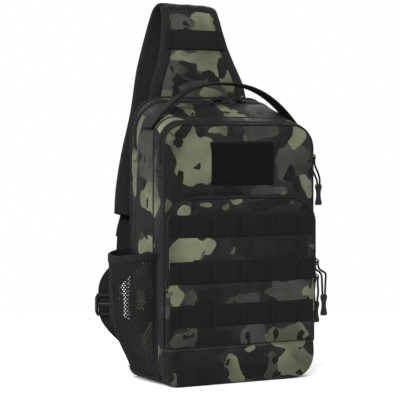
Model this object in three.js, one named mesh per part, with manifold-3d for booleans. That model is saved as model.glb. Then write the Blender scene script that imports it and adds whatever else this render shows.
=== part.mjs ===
// A one-shoulder sling bag: three zipped compartments, a mesh bottle pocket, a handle and a padded strap.
// Millimetres. The front faces -Y, +X is to the right of someone who looks at the front, +Z is up.
// The origin is the centre of the base, on the surface that the bag stands on.
import * as THREE from 'three';
import { mergeVertices } from 'three/addons/utils/BufferGeometryUtils.js';
import Module from 'manifold-3d';

const wasm = await Module();
wasm.setup();

// ---------------------------------------------------------------- driving dimensions
const GAP = 0.3; // clearance between neighbouring pieces
const BACK_Y = 50; // rear face of the back panel
const BACK_TOP = 326; // height of the top seam at the back
const TOP_SLOPE = 0.34; // fall of the top per unit of depth, towards the front
const SIDE_HALF = 90; // half width at the back
const SIDE_BULGE = 6; // extra half width where the sides swell
const BULGE_Y = -30; // depth at which the sides are widest
const BULGE_REACH = 85; // how far from that depth the swell dies away
const CORNER_FRONT = 22; // top corner radius at the front and at the back
const CORNER_BACK = 40;
const CORNER_BOTTOM = 18;
const FLOOR_Z = 3.3; // underside of the compartments, on the bottom panel
const WALL = 2; // fabric, foam and lining together
const PANEL = 2.7;
const MAIN = { back: 46, front: -20 }; // depth range of each compartment's gusset
const MIDDLE = { back: -22.3, front: -47 };
const FRONT_FACE = -57; // outer face of the front pocket
const POCKET = { half: 96, bottom: 44, hinge: 112.3, top: 211, cornerX: 42, cornerZ: 30, wall: 1.6 };
const WEBBING = 25; // width of each webbing row
const ROW_THICKNESS = 1.8;
const ZIP = { width: 6, rise: 1, end: { main: 265, middle: 247 } };
const SLIDER = { length: 12, width: 9, plate: 2.4, bridge: 2.4, leg: 2, hole: 4, clear: 3.4, bar: 1.6 };
const CORD_RADIUS = 1.2;
const LOOP_RADIUS = 3.4; // of the cord's turn round the slider's bridge
const CORD_END = 1.7; // half the distance between the two strands where they enter the grip
const GRIP = { length: 25, width: 8.5, thickness: 4.2, start: 1.8 };
const STRAIGHT = 6; // length of cord that lies straight beside the slider
const HANDLE = { y: -10, half: 98, low: 289, high: 342.5, power: 2.6, width: 20, thickness: 2.6 };
const STRAP = { shell: 2.6, lining: 3.6, binding: 2.6 };
const BOTTLE = { back: 47, front: -33, rimTop: 150, rimBottom: 140.5, foot: 7, side: -88, depth: 52 };
const NET = 1.6;
const ELASTIC = 3; // thickness of the pocket's rim
const ADJUSTER = { width: 34, height: 27, depth: 6.4, centre: [-106.5, 78.5, 81.5] };

const topAt = (y) => BACK_TOP - (BACK_Y - y) * TOP_SLOPE;
const halfAt = (y) => SIDE_HALF + SIDE_BULGE * (1 - ((y - BULGE_Y) / BULGE_REACH) ** 2);
const cornerAt = (y) => THREE.MathUtils.lerp(CORNER_FRONT, CORNER_BACK, (y + BACK_Y) / (2 * BACK_Y));

// ---------------------------------------------------------------- mesh helpers
const V = (x, y, z) => new THREE.Vector3(x, y, z);

/** A geometry from points and triangles, turned outwards. */
function solidFrom(points, triangles) {
  let volume = 0;
  for (const [a, b, c] of triangles) volume += points[a].dot(points[b].clone().cross(points[c])) / 6;
  const faces = volume > 0 ? triangles : triangles.map(([a, b, c]) => [a, c, b]);
  const geometry = new THREE.BufferGeometry();
  geometry.setAttribute('position', new THREE.Float32BufferAttribute(points.flatMap((p) => p.toArray()), 3));
  geometry.setIndex(faces.flat());
  return geometry;
}

/** Joins rings of equal length into a closed skin, capped at each end. turned(i) picks side i's diagonal. */
function loft(rings, turned = () => false) {
  const n = rings[0].length;
  const triangles = [];
  for (let r = 0; r + 1 < rings.length; r++) {
    for (let i = 0; i < n; i++) {
      const [a, b] = [r * n + i, r * n + ((i + 1) % n)];
      if (turned(i)) triangles.push([a, b, a + n], [b, b + n, a + n]);
      else triangles.push([a, b, b + n], [a, b + n, a + n]);
    }
  }
  const last = (rings.length - 1) * n;
  for (let i = 1; i + 1 < n; i++) triangles.push([0, i + 1, i], [last, last + i, last + i + 1]);
  return solidFrom(rings.flat(), triangles);
}

/** A wall between an outer and an inner loft, open at both ends like a sleeve. */
function sleeve(outer, inner) {
  const n = outer[0].length;
  const inside = outer.length * n;
  const triangles = [];
  for (let i = 0; i < n; i++) {
    const j = (i + 1) % n;
    for (let r = 0; r + 1 < outer.length; r++) {
      const [a, b] = [r * n + i, r * n + j];
      triangles.push([a, b, b + n], [a, b + n, a + n]);
      triangles.push([inside + a, inside + b + n, inside + b], [inside + a, inside + a + n, inside + b + n]);
    }
    const last = (outer.length - 1) * n;
    triangles.push([i, inside + j, j], [i, inside + i, inside + j]);
    triangles.push([last + i, last + j, inside + last + j], [last + i, inside + last + j, inside + last + i]);
  }
  return solidFrom([...outer.flat(), ...inner.flat()], triangles);
}

/** manifold-3d solid of a geometry, and back. */
function toSolid(geometry) {
  const plain = geometry.clone();
  plain.deleteAttribute('normal');
  plain.deleteAttribute('uv');
  const merged = mergeVertices(plain, 1e-4);
  const mesh = { numProp: 3, vertProperties: new Float32Array(merged.attributes.position.array) };
  return new wasm.Manifold(new wasm.Mesh({ ...mesh, triVerts: new Uint32Array(merged.index.array) }));
}

function toGeometry(solid) {
  const mesh = solid.getMesh();
  const geometry = new THREE.BufferGeometry();
  geometry.setAttribute('position', new THREE.BufferAttribute(new Float32Array(mesh.vertProperties), 3));
  geometry.setIndex(new THREE.BufferAttribute(new Uint32Array(mesh.triVerts), 1));
  return geometry;
}

/** A box between two corners. */
function block(low, high) {
  const [a, b] = [V(...low), V(...high)];
  const size = b.clone().sub(a);
  const centre = a.add(b).multiplyScalar(0.5);
  return new THREE.BoxGeometry(size.x, size.y, size.z).translate(centre.x, centre.y, centre.z);
}

/** Extrudes an outline drawn in X and Z along Y, between two depths. */
function plateXZ(outline, front, back) {
  const shape = new THREE.Shape(outline.map(([x, z]) => new THREE.Vector2(x, z)));
  const plate = new THREE.ExtrudeGeometry(shape, { depth: back - front, bevelEnabled: false });
  return plate.rotateX(Math.PI / 2).translate(0, back, 0);
}

/** A flat ribbon along a path. Each station has a centre, a width direction and width and height ranges. */
function ribbon(stations, tangents) {
  return loft(stations.map((s, i) => {
    const across = s.across.clone().addScaledVector(tangents[i], -s.across.dot(tangents[i])).normalize();
    const up = across.clone().cross(tangents[i]).normalize();
    const corner = (side, height) => s.at.clone().addScaledVector(across, side).addScaledVector(up, height);
    return [corner(s.from, s.low), corner(s.to, s.low), corner(s.to, s.high), corner(s.from, s.high)];
  }), (side) => side === 2);
}

function tangentsOf(points) {
  return points.map((p, i) => {
    const before = points[Math.max(i - 1, 0)];
    const after = points[Math.min(i + 1, points.length - 1)];
    return after.clone().sub(before).normalize();
  });
}

// ---------------------------------------------------------------- outlines
/** Rounded outline in X and Z, from the right end of the base up, over the top and down the left. */
function roundedOutline(half, low, high, topRadius, bottomRadius, steps = 5) {
  const points = [];
  const arc = (cx, cz, radius, start) => {
    for (let i = 0; i <= steps; i++) {
      const angle = start + (Math.PI / 2) * (i / steps);
      points.push([cx + radius * Math.cos(angle), cz + radius * Math.sin(angle)]);
    }
  };
  arc(half - bottomRadius, low + bottomRadius, bottomRadius, -Math.PI / 2);
  arc(half - topRadius, high - topRadius, topRadius, 0);
  arc(-half + topRadius, high - topRadius, topRadius, Math.PI / 2);
  arc(-half + bottomRadius, low + bottomRadius, bottomRadius, Math.PI);
  return points;
}

/** The bag's outline at a depth, grown outwards by a distance. */
function bodyOutline(y, grow = 0) {
  const top = cornerAt(y) + grow;
  return roundedOutline(halfAt(y) + grow, FLOOR_Z - grow, topAt(y) + grow, top, CORNER_BOTTOM + grow);
}

const ring = (outline, y) => outline.map(([x, z]) => V(x, y, z));
const depths = (front, back, count) => (
  Array.from({ length: count }, (_, i) => THREE.MathUtils.lerp(front, back, i / (count - 1))));

/** The front pocket's outline: square at the bottom, with elliptical shoulders. */
function pocketOutline(inset, low, high) {
  const [rx, rz, half] = [POCKET.cornerX - inset, POCKET.cornerZ - inset, POCKET.half - inset];
  const top = POCKET.top - inset;
  const points = [[-half, low], [half, low]];
  if (high <= top - rz) return [...points, [half, high], [-half, high]];
  const steps = 6;
  for (let i = 0; i <= 2 * steps + 1; i++) {
    const right = i <= steps;
    const angle = (Math.PI / 2) * ((right ? i : i - 1) / steps);
    points.push([(right ? half - rx : rx - half) + rx * Math.cos(angle), top - rz + rz * Math.sin(angle)]);
  }
  return points;
}

// ---------------------------------------------------------------- the compartments
function gusset({ front, back }, count) {
  const ys = depths(front, back, count);
  return sleeve(ys.map((y) => ring(bodyOutline(y), y)), ys.map((y) => ring(bodyOutline(y, -WALL), y)));
}

function panel(front, back) {
  return loft([front, back].map((y) => ring(bodyOutline(y), y)));
}

const backPad = () => loft([[50.3, 0], [53, 0], [55, 5]].map(([y, inset]) => (
  ring(roundedOutline(79 - inset, 28 + inset, 300 - inset, 36 - inset, 20 - inset), y))));

/** The bottom panel's floor, with its front edge turned up to the seam below the front pocket. */
function bottomPanel() {
  const inside = [[46, 0], [46, 3], [-50.4, 3], [-53.6, 5.4], [-55.2, 9.5], [-55.4, 14], [-55.4, 43.6]];
  const outside = [[-57, 43.6], [-57, 13], [-56.2, 7.5], [-54, 3], [-49.5, 0]];
  const shape = new THREE.Shape([...inside, ...outside].map(([y, z]) => new THREE.Vector2(y, z)));
  const length = 168;
  const body = new THREE.ExtrudeGeometry(shape, { depth: length, bevelEnabled: false });
  const toWorld = new THREE.Matrix4().makeBasis(V(0, 1, 0), V(0, 0, 1), V(1, 0, 0));
  return body.applyMatrix4(toWorld.setPosition(-length / 2, 0, 0));
}

const pocketBack = -50.3; // the middle compartment's front panel, which the pocket lies on
const zipFront = -53.2; // joint face between the zip tape and the pocket's rim

/** The fixed lower part of the front pocket: its face with the floor and two side walls behind it. */
function pocketBase() {
  const { half, bottom, hinge, wall } = POCKET;
  const outer = block([-half, FRONT_FACE, bottom], [half, pocketBack, hinge - GAP]);
  const inner = block([-half + WALL, FRONT_FACE + wall, bottom + WALL], [half - WALL, 0, hinge + 1]);
  return toGeometry(toSolid(outer).subtract(toSolid(inner)));
}

/** The part that folds open: the face and the shallow rim that carries the outer half of the zip. */
function pocketFlap() {
  const { hinge, top, wall } = POCKET;
  const low = hinge + GAP;
  const outer = plateXZ(pocketOutline(0, low, top), FRONT_FACE, zipFront - GAP);
  const inner = plateXZ(pocketOutline(WALL, low - 1, top), FRONT_FACE + wall, 0);
  return toGeometry(toSolid(outer).subtract(toSolid(inner)));
}

/** The zip round the front pocket's mouth, from the left end over the top to the right end. */
function pocketZip() {
  const outer = toSolid(plateXZ(pocketOutline(0, POCKET.hinge + 0.7, POCKET.top), zipFront, pocketBack));
  const inner = toSolid(plateXZ(pocketOutline(2.4, 100, POCKET.top), zipFront - 1, pocketBack + 1));
  return toGeometry(outer.subtract(inner));
}

/** A zip laid over a gusset, following the bag's outline from one side over the top to the other. */
function zipBand(y, end) {
  const rise = [GAP, GAP + ZIP.rise];
  const band = sleeve(
    depths(y - ZIP.width / 2, y + ZIP.width / 2, 2).map((d) => ring(bodyOutline(d, rise[1]), d)),
    depths(y - ZIP.width / 2, y + ZIP.width / 2, 2).map((d) => ring(bodyOutline(d, rise[0]), d)),
  );
  const above = block([-200, -200, end], [200, 200, 500]);
  return toGeometry(toSolid(band).intersect(toSolid(above)));
}

const strip = (low, high, half, front, back) => block([-half, front, low], [half, back, high]);

// ---------------------------------------------------------------- zip sliders and their pulls
/** Turns a piece from the zip's own axes (along, across, away from the bag) into the bag's. */
const placed = (geometry, f) => geometry.applyMatrix4(
  new THREE.Matrix4().makeBasis(f.along, f.across, f.normal).setPosition(f.at));

/** A slider: a plate with a bridge that the cord passes under. f.at is the foot of the plate. */
function slider(f) {
  const { length, width, plate, bridge, leg, hole, clear, bar } = SLIDER;
  const reach = hole / 2 + leg;
  const body = toSolid(block([-length / 2, -width / 2, 0], [length / 2, width / 2, plate]));
  const arch = toSolid(block([-reach, -bridge / 2, plate - 1], [reach, bridge / 2, plate + clear + bar]));
  const window = toSolid(block([-hole / 2, -bridge, plate], [hole / 2, bridge, plate + clear]));
  return placed(toGeometry(body.add(arch).subtract(window)), f);
}

/** Middle of the opening under a slider's bridge, which the pull swings about. */
const pivotOf = (f) => f.at.clone().addScaledVector(f.normal, SLIDER.plate + SLIDER.clear / 2);

/** How far past the slider a point on the cord is, as a share of a length. */
const past = (s, reach) => Math.max(0, (s - STRAIGHT) / reach);
const settle = (t) => Math.min(t, 1) ** 2 * (3 - 2 * Math.min(t, 1));

/** The two strands' middle line. It runs along the zip, then leans out and to one side. */
function strandMiddle(f, s) {
  const share = past(s, f.cord - STRAIGHT);
  return pivotOf(f)
    .addScaledVector(f.along, f.turn * share ** 2 - s)
    .addScaledVector(f.normal, f.out * settle(past(s, f.reach)))
    .addScaledVector(f.across, f.side * (f.fans ? share ** 2 : settle(past(s, f.reach))));
}

/** Which way the two strands lie apart, at a distance along the cord. */
function strandSide(f, s) {
  const angle = f.twist * settle(past(s, f.reach));
  return f.across.clone().multiplyScalar(Math.cos(angle)).addScaledVector(f.normal, Math.sin(angle));
}

/** The doubled cord: up one strand, round the bridge and down the other. */
function cordPoints(f) {
  const steps = 7;
  const strand = (sign) => Array.from({ length: steps }, (_, i) => {
    const share = (i + 1) / steps;
    const s = LOOP_RADIUS + share * (f.cord - LOOP_RADIUS);
    const half = THREE.MathUtils.lerp(LOOP_RADIUS, CORD_END, share);
    return strandMiddle(f, s).addScaledVector(strandSide(f, s), sign * half);
  });
  const turn = [-60, -30, 0, 30, 60].map((degrees) => {
    const angle = THREE.MathUtils.degToRad(degrees);
    const centre = strandMiddle(f, LOOP_RADIUS);
    return centre.addScaledVector(f.along, LOOP_RADIUS * Math.cos(angle))
      .addScaledVector(f.across, LOOP_RADIUS * Math.sin(angle));
  });
  return [...strand(-1).reverse(), ...turn, ...strand(1)];
}

function cord(f) {
  const path = new THREE.CatmullRomCurve3(cordPoints(f), false, 'centripetal');
  const section = new THREE.Shape();
  for (let i = 0; i < 8; i++) {
    const angle = (i * Math.PI) / 4;
    const [x, y] = [CORD_RADIUS * Math.cos(angle), CORD_RADIUS * Math.sin(angle)];
    if (i) section.lineTo(x, y);
    else section.moveTo(x, y);
  }
  return new THREE.ExtrudeGeometry(section, { steps: 30, extrudePath: path, bevelEnabled: false });
}

/** The moulded grip: wide at both ends, narrow in the middle. */
function grip(f) {
  const end = strandMiddle(f, f.cord);
  const away = end.clone().sub(strandMiddle(f, f.cord - 2)).normalize();
  const side = strandSide(f, f.cord);
  const wide = side.clone().addScaledVector(away, -side.dot(away)).normalize();
  const thick = away.clone().cross(wide).normalize();
  const profile = [[0, 0.8], [3, 1], [9, 0.62], [16, 0.62], [22, 1], [GRIP.length, 0.9]];
  return loft(profile.map(([s, share]) => {
    const half = (GRIP.width / 2) * share;
    return [[-1, -1], [1, -1], [1, 1], [-1, 1]].map(([w, t]) => (
      end.clone().addScaledVector(away, s + GRIP.start).addScaledVector(wide, w * half)
        .addScaledVector(thick, (t * GRIP.thickness) / 2)));
  }));
}

const slope = Math.atan(TOP_SLOPE);
const topNormal = V(0, -Math.sin(slope), Math.cos(slope));
const downSlope = V(0, -Math.cos(slope), -Math.sin(slope));
const MAIN_ZIP_Y = 33;
const MIDDLE_ZIP_Y = -42.5;
const POCKET_ZIP_Y = (zipFront + pocketBack) / 2;
const overZip = GAP + ZIP.rise + GAP;

/** A slider on the top zip at x, its pull lying forward down the sloping top. */
const onTop = (x) => ({
  at: V(x, MAIN_ZIP_Y, topAt(MAIN_ZIP_Y)).addScaledVector(topNormal, overZip),
  along: V(1, 0, 0), across: downSlope.clone().negate(), normal: topNormal,
  cord: 17, reach: 8.5, turn: 1.75, out: -2.9, side: -5, fans: true, twist: 0,
});

/** A slider on the right side, its pull hanging down. */
const onSide = (x, y, z, pull) => ({
  at: V(x, y, z), along: V(0, 0, 1), across: V(0, -1, 0), normal: V(1, 0, 0), turn: 0,
  twist: Math.PI / 2, ...pull,
});

const middleX = halfAt(MIDDLE_ZIP_Y) + overZip;
const pocketX = POCKET.half + GAP;

const SLIDERS = {
  main_left: onTop(17),
  main_right: onTop(47),
  middle: onSide(middleX, MIDDLE_ZIP_Y, 256, { cord: 32, reach: 24, out: 7.5, side: 0 }),
  pocket_lower: onSide(pocketX, POCKET_ZIP_Y, 115.5, { cord: 29, reach: 23, out: 2.5, side: -4.6 }),
  pocket_upper: onSide(pocketX, POCKET_ZIP_Y, 133.5, { cord: 38, reach: 9, out: 6.3, side: 6.4 }),
};

// ---------------------------------------------------------------- handle and strap
function handle() {
  const { y, half, low, high, power, width, thickness } = HANDLE;
  const heightAt = (x) => high - (high - low) * (Math.abs(x) / half) ** power;
  const points = depths(-half, half, 21).map((x) => V(x, y, heightAt(x)));
  const stations = points.map((at) => (
    { at, across: V(0, 1, 0), from: -width / 2, to: width / 2, low: -thickness / 2, high: thickness / 2 }));
  return ribbon(stations, tangentsOf(points));
}

// The strap's middle line from the top seam, over the fold and down behind the bag, with its half width.
const STRAP_ROUTE = [
  [0, 54.6, 322, 65], [0, 56, 345, 60], [0, 60, 368, 50.5], [0, 65, 388, 44],
  [0, 70.5, 408, 40], [0.3, 76, 425, 37.5], [0.8, 83.5, 436, 36], [0.3, 93, 438.5, 35],
  [-2.4, 102, 432, 35], [-5.4, 107.5, 416, 35], [-11.4, 109.5, 390, 35], [-24.4, 105, 350, 34],
  [-39.4, 96, 300, 31], [-59.4, 85, 250, 28], [-72.4, 76.5, 212, 25.5], [-79.5, 71.5, 184, 22.5],
];
const STRAP_STATIONS = 34;
const strapLine = new THREE.CatmullRomCurve3(STRAP_ROUTE.map(([x, y, z]) => V(x, y, z)));
const strapPoints = strapLine.getPoints(STRAP_STATIONS - 1);
const strapTangents = tangentsOf(strapPoints);
const strapHalf = strapPoints.map((_, i) => {
  const place = (i / (STRAP_STATIONS - 1)) * (STRAP_ROUTE.length - 1);
  const before = Math.min(Math.floor(place), STRAP_ROUTE.length - 2);
  return THREE.MathUtils.lerp(STRAP_ROUTE[before][3], STRAP_ROUTE[before + 1][3], place - before);
});

/** One layer of the strap, given its width and height ranges at each station. */
function strapLayer(range) {
  const stations = strapHalf.map((half, i) => ({ at: strapPoints[i], across: V(1, 0, 0), ...range(half) }));
  return ribbon(stations, strapTangents);
}

const strapShell = () => strapLayer((half) => ({ from: -half, to: half, low: GAP / 2, high: STRAP.shell }));
const strapLining = () => strapLayer((half) => (
  { from: -half, to: half, low: -STRAP.lining, high: -GAP / 2 }));

function strapBinding(sign) {
  const reach = (half) => [sign * (half + GAP), sign * (half + GAP + STRAP.binding)].sort((a, b) => a - b);
  return strapLayer((half) => (
    { from: reach(half)[0], to: reach(half)[1], low: -STRAP.lining, high: STRAP.shell }));
}

/** The row of webbing across the front of the strap. */
function strapRow() {
  const [low, high] = [3, 4].map((i) => V(...STRAP_ROUTE[i].slice(0, 3)));
  const middle = low.clone().lerp(high, 0.4);
  const along = high.clone().sub(low).normalize();
  const points = [-WEBBING / 2, WEBBING / 2].map((s) => middle.clone().addScaledVector(along, s));
  const lift = STRAP.shell + 0.8; // clear of the shell where it bends between two stations
  const half = 37;
  const stations = points.map((at) => (
    { at, across: V(1, 0, 0), from: -half, to: half, low: lift, high: lift + ROW_THICKNESS }));
  return ribbon(stations, [along, along]);
}

// The flat webbing from the strap's lower end to the bag's bottom corner, straight where the adjuster rides.
const WEBBING_ROUTE = [
  [-86, 70.5, 173], [-86.8, 71, 156], [-89, 72.8, 139], [-97, 76, 122],
  [-106.5, 78.5, 110], [-106.5, 78.5, 98], [-106.5, 78.5, 66], [-106.5, 78.5, 60],
  [-100, 74, 50], [-91, 68.5, 39], [-84, 63, 28], [-79, 58.8, 19],
];
const WEBBING_ACROSS = V(0.883, -0.469, 0);

function lowerWebbing() {
  const points = WEBBING_ROUTE.map((p) => V(...p));
  const half = WEBBING / 2;
  const stations = points.map((at) => (
    { at, across: WEBBING_ACROSS, from: -half, to: half, low: -1, high: 1 }));
  return ribbon(stations, tangentsOf(points));
}

/** The strap adjuster: two side rails joined by bars that lie in front of and behind the webbing. */
function adjuster() {
  const { width, height, depth, centre } = ADJUSTER;
  const [w, h, d] = [width / 2, height / 2, depth / 2];
  const outer = toSolid(block([-w, -d, -h], [w, d, h]));
  const [slot, bar, rear] = [WEBBING / 2 + 0.6, 4.5, 3]; // half slot, front bars' height, half the rear bar's
  const channel = toSolid(block([-slot, -1.5, -h - 1], [slot, 1.5, h + 1]));
  const frontWindow = toSolid(block([-slot, -d - 1, -h + bar], [slot, 0, h - bar]));
  const rearWindows = [-1, 1].map((side) => (
    toSolid(block([-slot, 0, side > 0 ? rear : -h - 1], [slot, d + 1, side > 0 ? h + 1 : -rear]))));
  const frame = [channel, frontWindow, ...rearWindows].reduce((left, hole) => left.subtract(hole), outer);
  const back = V(0, 0, 1).cross(WEBBING_ACROSS);
  const toWorld = new THREE.Matrix4();
  toWorld.makeBasis(WEBBING_ACROSS.clone().normalize(), back.normalize(), V(0, 0, 1));
  return toGeometry(frame).applyMatrix4(toWorld.setPosition(...centre));
}

/** The sewn tab at the bag's bottom corner that holds the webbing's end. */
const anchorTab = () => block([-89.5, 50.3, 8], [-66, 55, 24]);

// ---------------------------------------------------------------- bottle pocket
const SWELL = { start: 4, reach: 62, power: 0.575, least: 7 };

/** Depth of the pocket's swell at a height: small at the foot, full from the middle up. */
function swell(z) {
  const share = Math.min(1, Math.max(0, (z - SWELL.start) / SWELL.reach)) ** SWELL.power;
  return SWELL.least + (BOTTLE.depth - SWELL.least) * share;
}

/** The pocket's outline at a height: a flattened half round on the bag's left side. */
function bottleRing(z, inset) {
  const { back, front, side } = BOTTLE;
  const [steps, squareness] = [12, 0.8];
  const [middle, half] = [(back + front) / 2, (back - front) / 2 - inset];
  const reach = swell(z) - inset;
  const arc = Array.from({ length: steps + 1 }, (_, i) => {
    const angle = (Math.PI * i) / steps;
    const [c, s] = [Math.cos(angle), Math.sin(angle)];
    const along = half * Math.sign(c) * Math.abs(c) ** squareness;
    return V(side - reach * Math.abs(s) ** squareness, middle + along, z);
  });
  const inside = side + 8; // within the bag's own side, which is cut away afterwards
  return [V(inside, middle + half, z), ...arc, V(inside, middle - half, z)];
}

const bodySpace = (grow) => toSolid(loft(depths(-48, 48, 7).map((y) => ring(bodyOutline(y, grow), y))));

/** A wall of the pocket between two heights, grown outwards; only the one at the foot has a floor. */
function bottleShell(low, high, wall, grow) {
  const count = low > BOTTLE.foot ? 2 : 9;
  const outer = toSolid(loft(depths(low, high, count).map((z) => bottleRing(z, -grow))));
  const floor = low > BOTTLE.foot ? low - 1 : low + wall;
  const inner = toSolid(loft(depths(floor, high + 1, count).map((z) => bottleRing(z, wall - grow))));
  return toGeometry(outer.subtract(inner).subtract(bodySpace(GAP)));
}

const bottleMesh = () => bottleShell(BOTTLE.foot, BOTTLE.rimBottom - GAP, NET, 0);
const bottleRim = () => bottleShell(BOTTLE.rimBottom, BOTTLE.rimTop, ELASTIC, (ELASTIC - NET) / 2);

// ---------------------------------------------------------------- the assembly
const FINISH = {
  camo: { color: 0x3d4036, roughness: 0.85 },
  webbing: { color: 0x151515, roughness: 0.8 },
  airmesh: { color: 0x1a1a1b, roughness: 0.95 },
  lining: { color: 0x1c1c1c, roughness: 0.9 },
  loop: { color: 0x101010, roughness: 1 },
  mesh: { color: 0x202020, roughness: 0.85 },
  elastic: { color: 0x1b1b1b, roughness: 0.8 },
  zip: { color: 0x1d1d1d, roughness: 0.6 },
  metal: { color: 0x2a2a2a, roughness: 0.35, metalness: 0.9 },
  cord: { color: 0x141414, roughness: 0.9 },
  plastic: { color: 0x181818, roughness: 0.45 },
};

const group = new THREE.Group();

function add(name, geometry, finish) {
  const mesh = new THREE.Mesh(geometry, new THREE.MeshStandardMaterial({ metalness: 0, ...FINISH[finish] }));
  mesh.name = name;
  group.add(mesh);
}

add('back_panel', panel(MAIN.back + GAP, BACK_Y), 'lining');
add('back_pad', backPad(), 'airmesh');
add('main_gusset', gusset(MAIN, 4), 'camo');
add('divider_panel', panel(MIDDLE.back + GAP, MAIN.front - GAP), 'lining');
add('middle_gusset', gusset(MIDDLE, 3), 'camo');
add('middle_front_panel', panel(MIDDLE.front - GAP - PANEL, MIDDLE.front - GAP), 'camo');
add('bottom_panel', bottomPanel(), 'camo');
add('front_pocket_base', pocketBase(), 'camo');
add('front_pocket_flap', pocketFlap(), 'camo');
add('loop_patch', strip(224, 274, 42, pocketBack - ROW_THICKNESS, pocketBack).translate(2, 0, 0), 'loop');
[[166, 192], [114, 140], [65.5, 91]].forEach(([low, high], i) => {
  const back = FRONT_FACE - GAP;
  add(`molle_row_${i + 1}`, strip(low, high, 95, back - ROW_THICKNESS, back), 'webbing');
});
add('main_zip', zipBand(MAIN_ZIP_Y, ZIP.end.main), 'zip');
add('middle_zip', zipBand(MIDDLE_ZIP_Y, ZIP.end.middle), 'zip');
add('front_pocket_zip', pocketZip(), 'zip');
for (const [name, place] of Object.entries(SLIDERS)) {
  add(`${name}_slider`, slider(place), 'metal');
  add(`${name}_cord`, cord(place), 'cord');
  add(`${name}_grip`, grip(place), 'plastic');
}
add('handle', handle(), 'webbing');
add('strap_shell', strapShell(), 'camo');
add('strap_lining', strapLining(), 'airmesh');
add('strap_binding_left', strapBinding(-1), 'webbing');
add('strap_binding_right', strapBinding(1), 'webbing');
add('strap_webbing_row', strapRow(), 'webbing');
add('lower_webbing', lowerWebbing(), 'webbing');
add('strap_adjuster', adjuster(), 'plastic');
add('anchor_tab', anchorTab(), 'webbing');
add('bottle_mesh', bottleMesh(), 'mesh');
add('bottle_rim', bottleRim(), 'elastic');

export default group;
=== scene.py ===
"""Looks of the one-shoulder sling bag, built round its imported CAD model. Lengths are in millimetres."""

import math

import bpy
import numpy as np
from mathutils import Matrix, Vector, noise


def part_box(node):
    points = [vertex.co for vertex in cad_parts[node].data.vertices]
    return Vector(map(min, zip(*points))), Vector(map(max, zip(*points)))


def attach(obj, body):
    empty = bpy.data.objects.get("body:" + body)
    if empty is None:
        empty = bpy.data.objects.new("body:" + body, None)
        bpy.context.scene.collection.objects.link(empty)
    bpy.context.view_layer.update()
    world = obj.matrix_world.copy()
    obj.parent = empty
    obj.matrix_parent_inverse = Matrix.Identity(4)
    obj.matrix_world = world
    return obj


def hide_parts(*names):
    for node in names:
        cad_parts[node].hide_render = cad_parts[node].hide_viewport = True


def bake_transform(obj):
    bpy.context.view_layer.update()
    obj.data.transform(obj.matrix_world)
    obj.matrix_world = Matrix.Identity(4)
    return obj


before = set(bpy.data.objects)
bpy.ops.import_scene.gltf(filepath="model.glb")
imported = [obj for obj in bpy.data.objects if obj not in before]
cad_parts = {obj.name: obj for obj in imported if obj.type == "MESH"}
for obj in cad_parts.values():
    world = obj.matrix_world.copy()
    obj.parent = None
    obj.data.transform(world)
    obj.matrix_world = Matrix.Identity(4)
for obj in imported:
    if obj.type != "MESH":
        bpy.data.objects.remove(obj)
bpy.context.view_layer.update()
MM = 0.001
X_AXIS, Y_AXIS, Z_AXIS = np.eye(3)


# ---------------------------------------------------------------- the frame's dimensions
def span(node):
    """Lowest and highest corner of a CAD node, in millimetres."""
    low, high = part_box(node)
    return np.array(low) / MM, np.array(high) / MM


BACK_Y = span("back_panel")[1][1]
BACK_TOP = span("back_panel")[1][2]
TOP_SLOPE = 0.34
SIDE_HALF, SIDE_BULGE, BULGE_Y, BULGE_REACH = 90.0, 6.0, -30.0, 85.0
CORNER_FRONT, CORNER_BACK, CORNER_BOTTOM = 22.0, 40.0, 18.0
FLOOR_Z = 3.3
MAIN_FRONT = span("main_gusset")[0][1]
MIDDLE_BACK = span("middle_gusset")[1][1]
FRONT_PANEL_Y = span("middle_front_panel")[0][1]
POCKET_Y = span("front_pocket_base")[0][1]
POCKET_HALF = span("front_pocket_base")[1][0]
POCKET_LOW = span("front_pocket_base")[0][2]
POCKET_TOP = span("front_pocket_flap")[1][2]
HINGE_Z = 112.3
SHOULDER_X, SHOULDER_Z = 42.0, 30.0
MAIN_ZIP_Y, MIDDLE_ZIP_Y, POCKET_ZIP_Y = 33.0, -42.5, -51.75
RADIAL = np.array([0.883, -0.469, 0.0])  # width direction of the lower webbing and its adjuster


def top_at(y):
    return BACK_TOP - (BACK_Y - y) * TOP_SLOPE


def half_at(y):
    return SIDE_HALF + SIDE_BULGE * (1 - ((y - BULGE_Y) / BULGE_REACH) ** 2)


def corner_at(y):
    return CORNER_FRONT + (y + BACK_Y) / (2 * BACK_Y) * (CORNER_BACK - CORNER_FRONT)


# ---------------------------------------------------------------- vectors and curves
def unit(v):
    v = np.asarray(v, float)
    return v / np.maximum(np.linalg.norm(v, axis=-1, keepdims=True), 1e-12)


def smooth(t):
    t = np.clip(t, 0, 1)
    return t * t * (3 - 2 * t)


def tangents(points):
    return unit(np.gradient(np.asarray(points, float), axis=0))


def lengths(points):
    """Distance along a line of points, at each point."""
    steps = np.linalg.norm(np.diff(points, axis=0), axis=1)
    return np.concatenate([[0], np.cumsum(steps)])


def at_lengths(points, where):
    """The line's points at given distances along it."""
    along = lengths(points)
    return np.stack([np.interp(where, along, points[:, k]) for k in range(3)], axis=1)


def evenly(points, step):
    total = lengths(points)[-1]
    return at_lengths(points, np.linspace(0, total, max(int(round(total / step)), 2) + 1))


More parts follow.
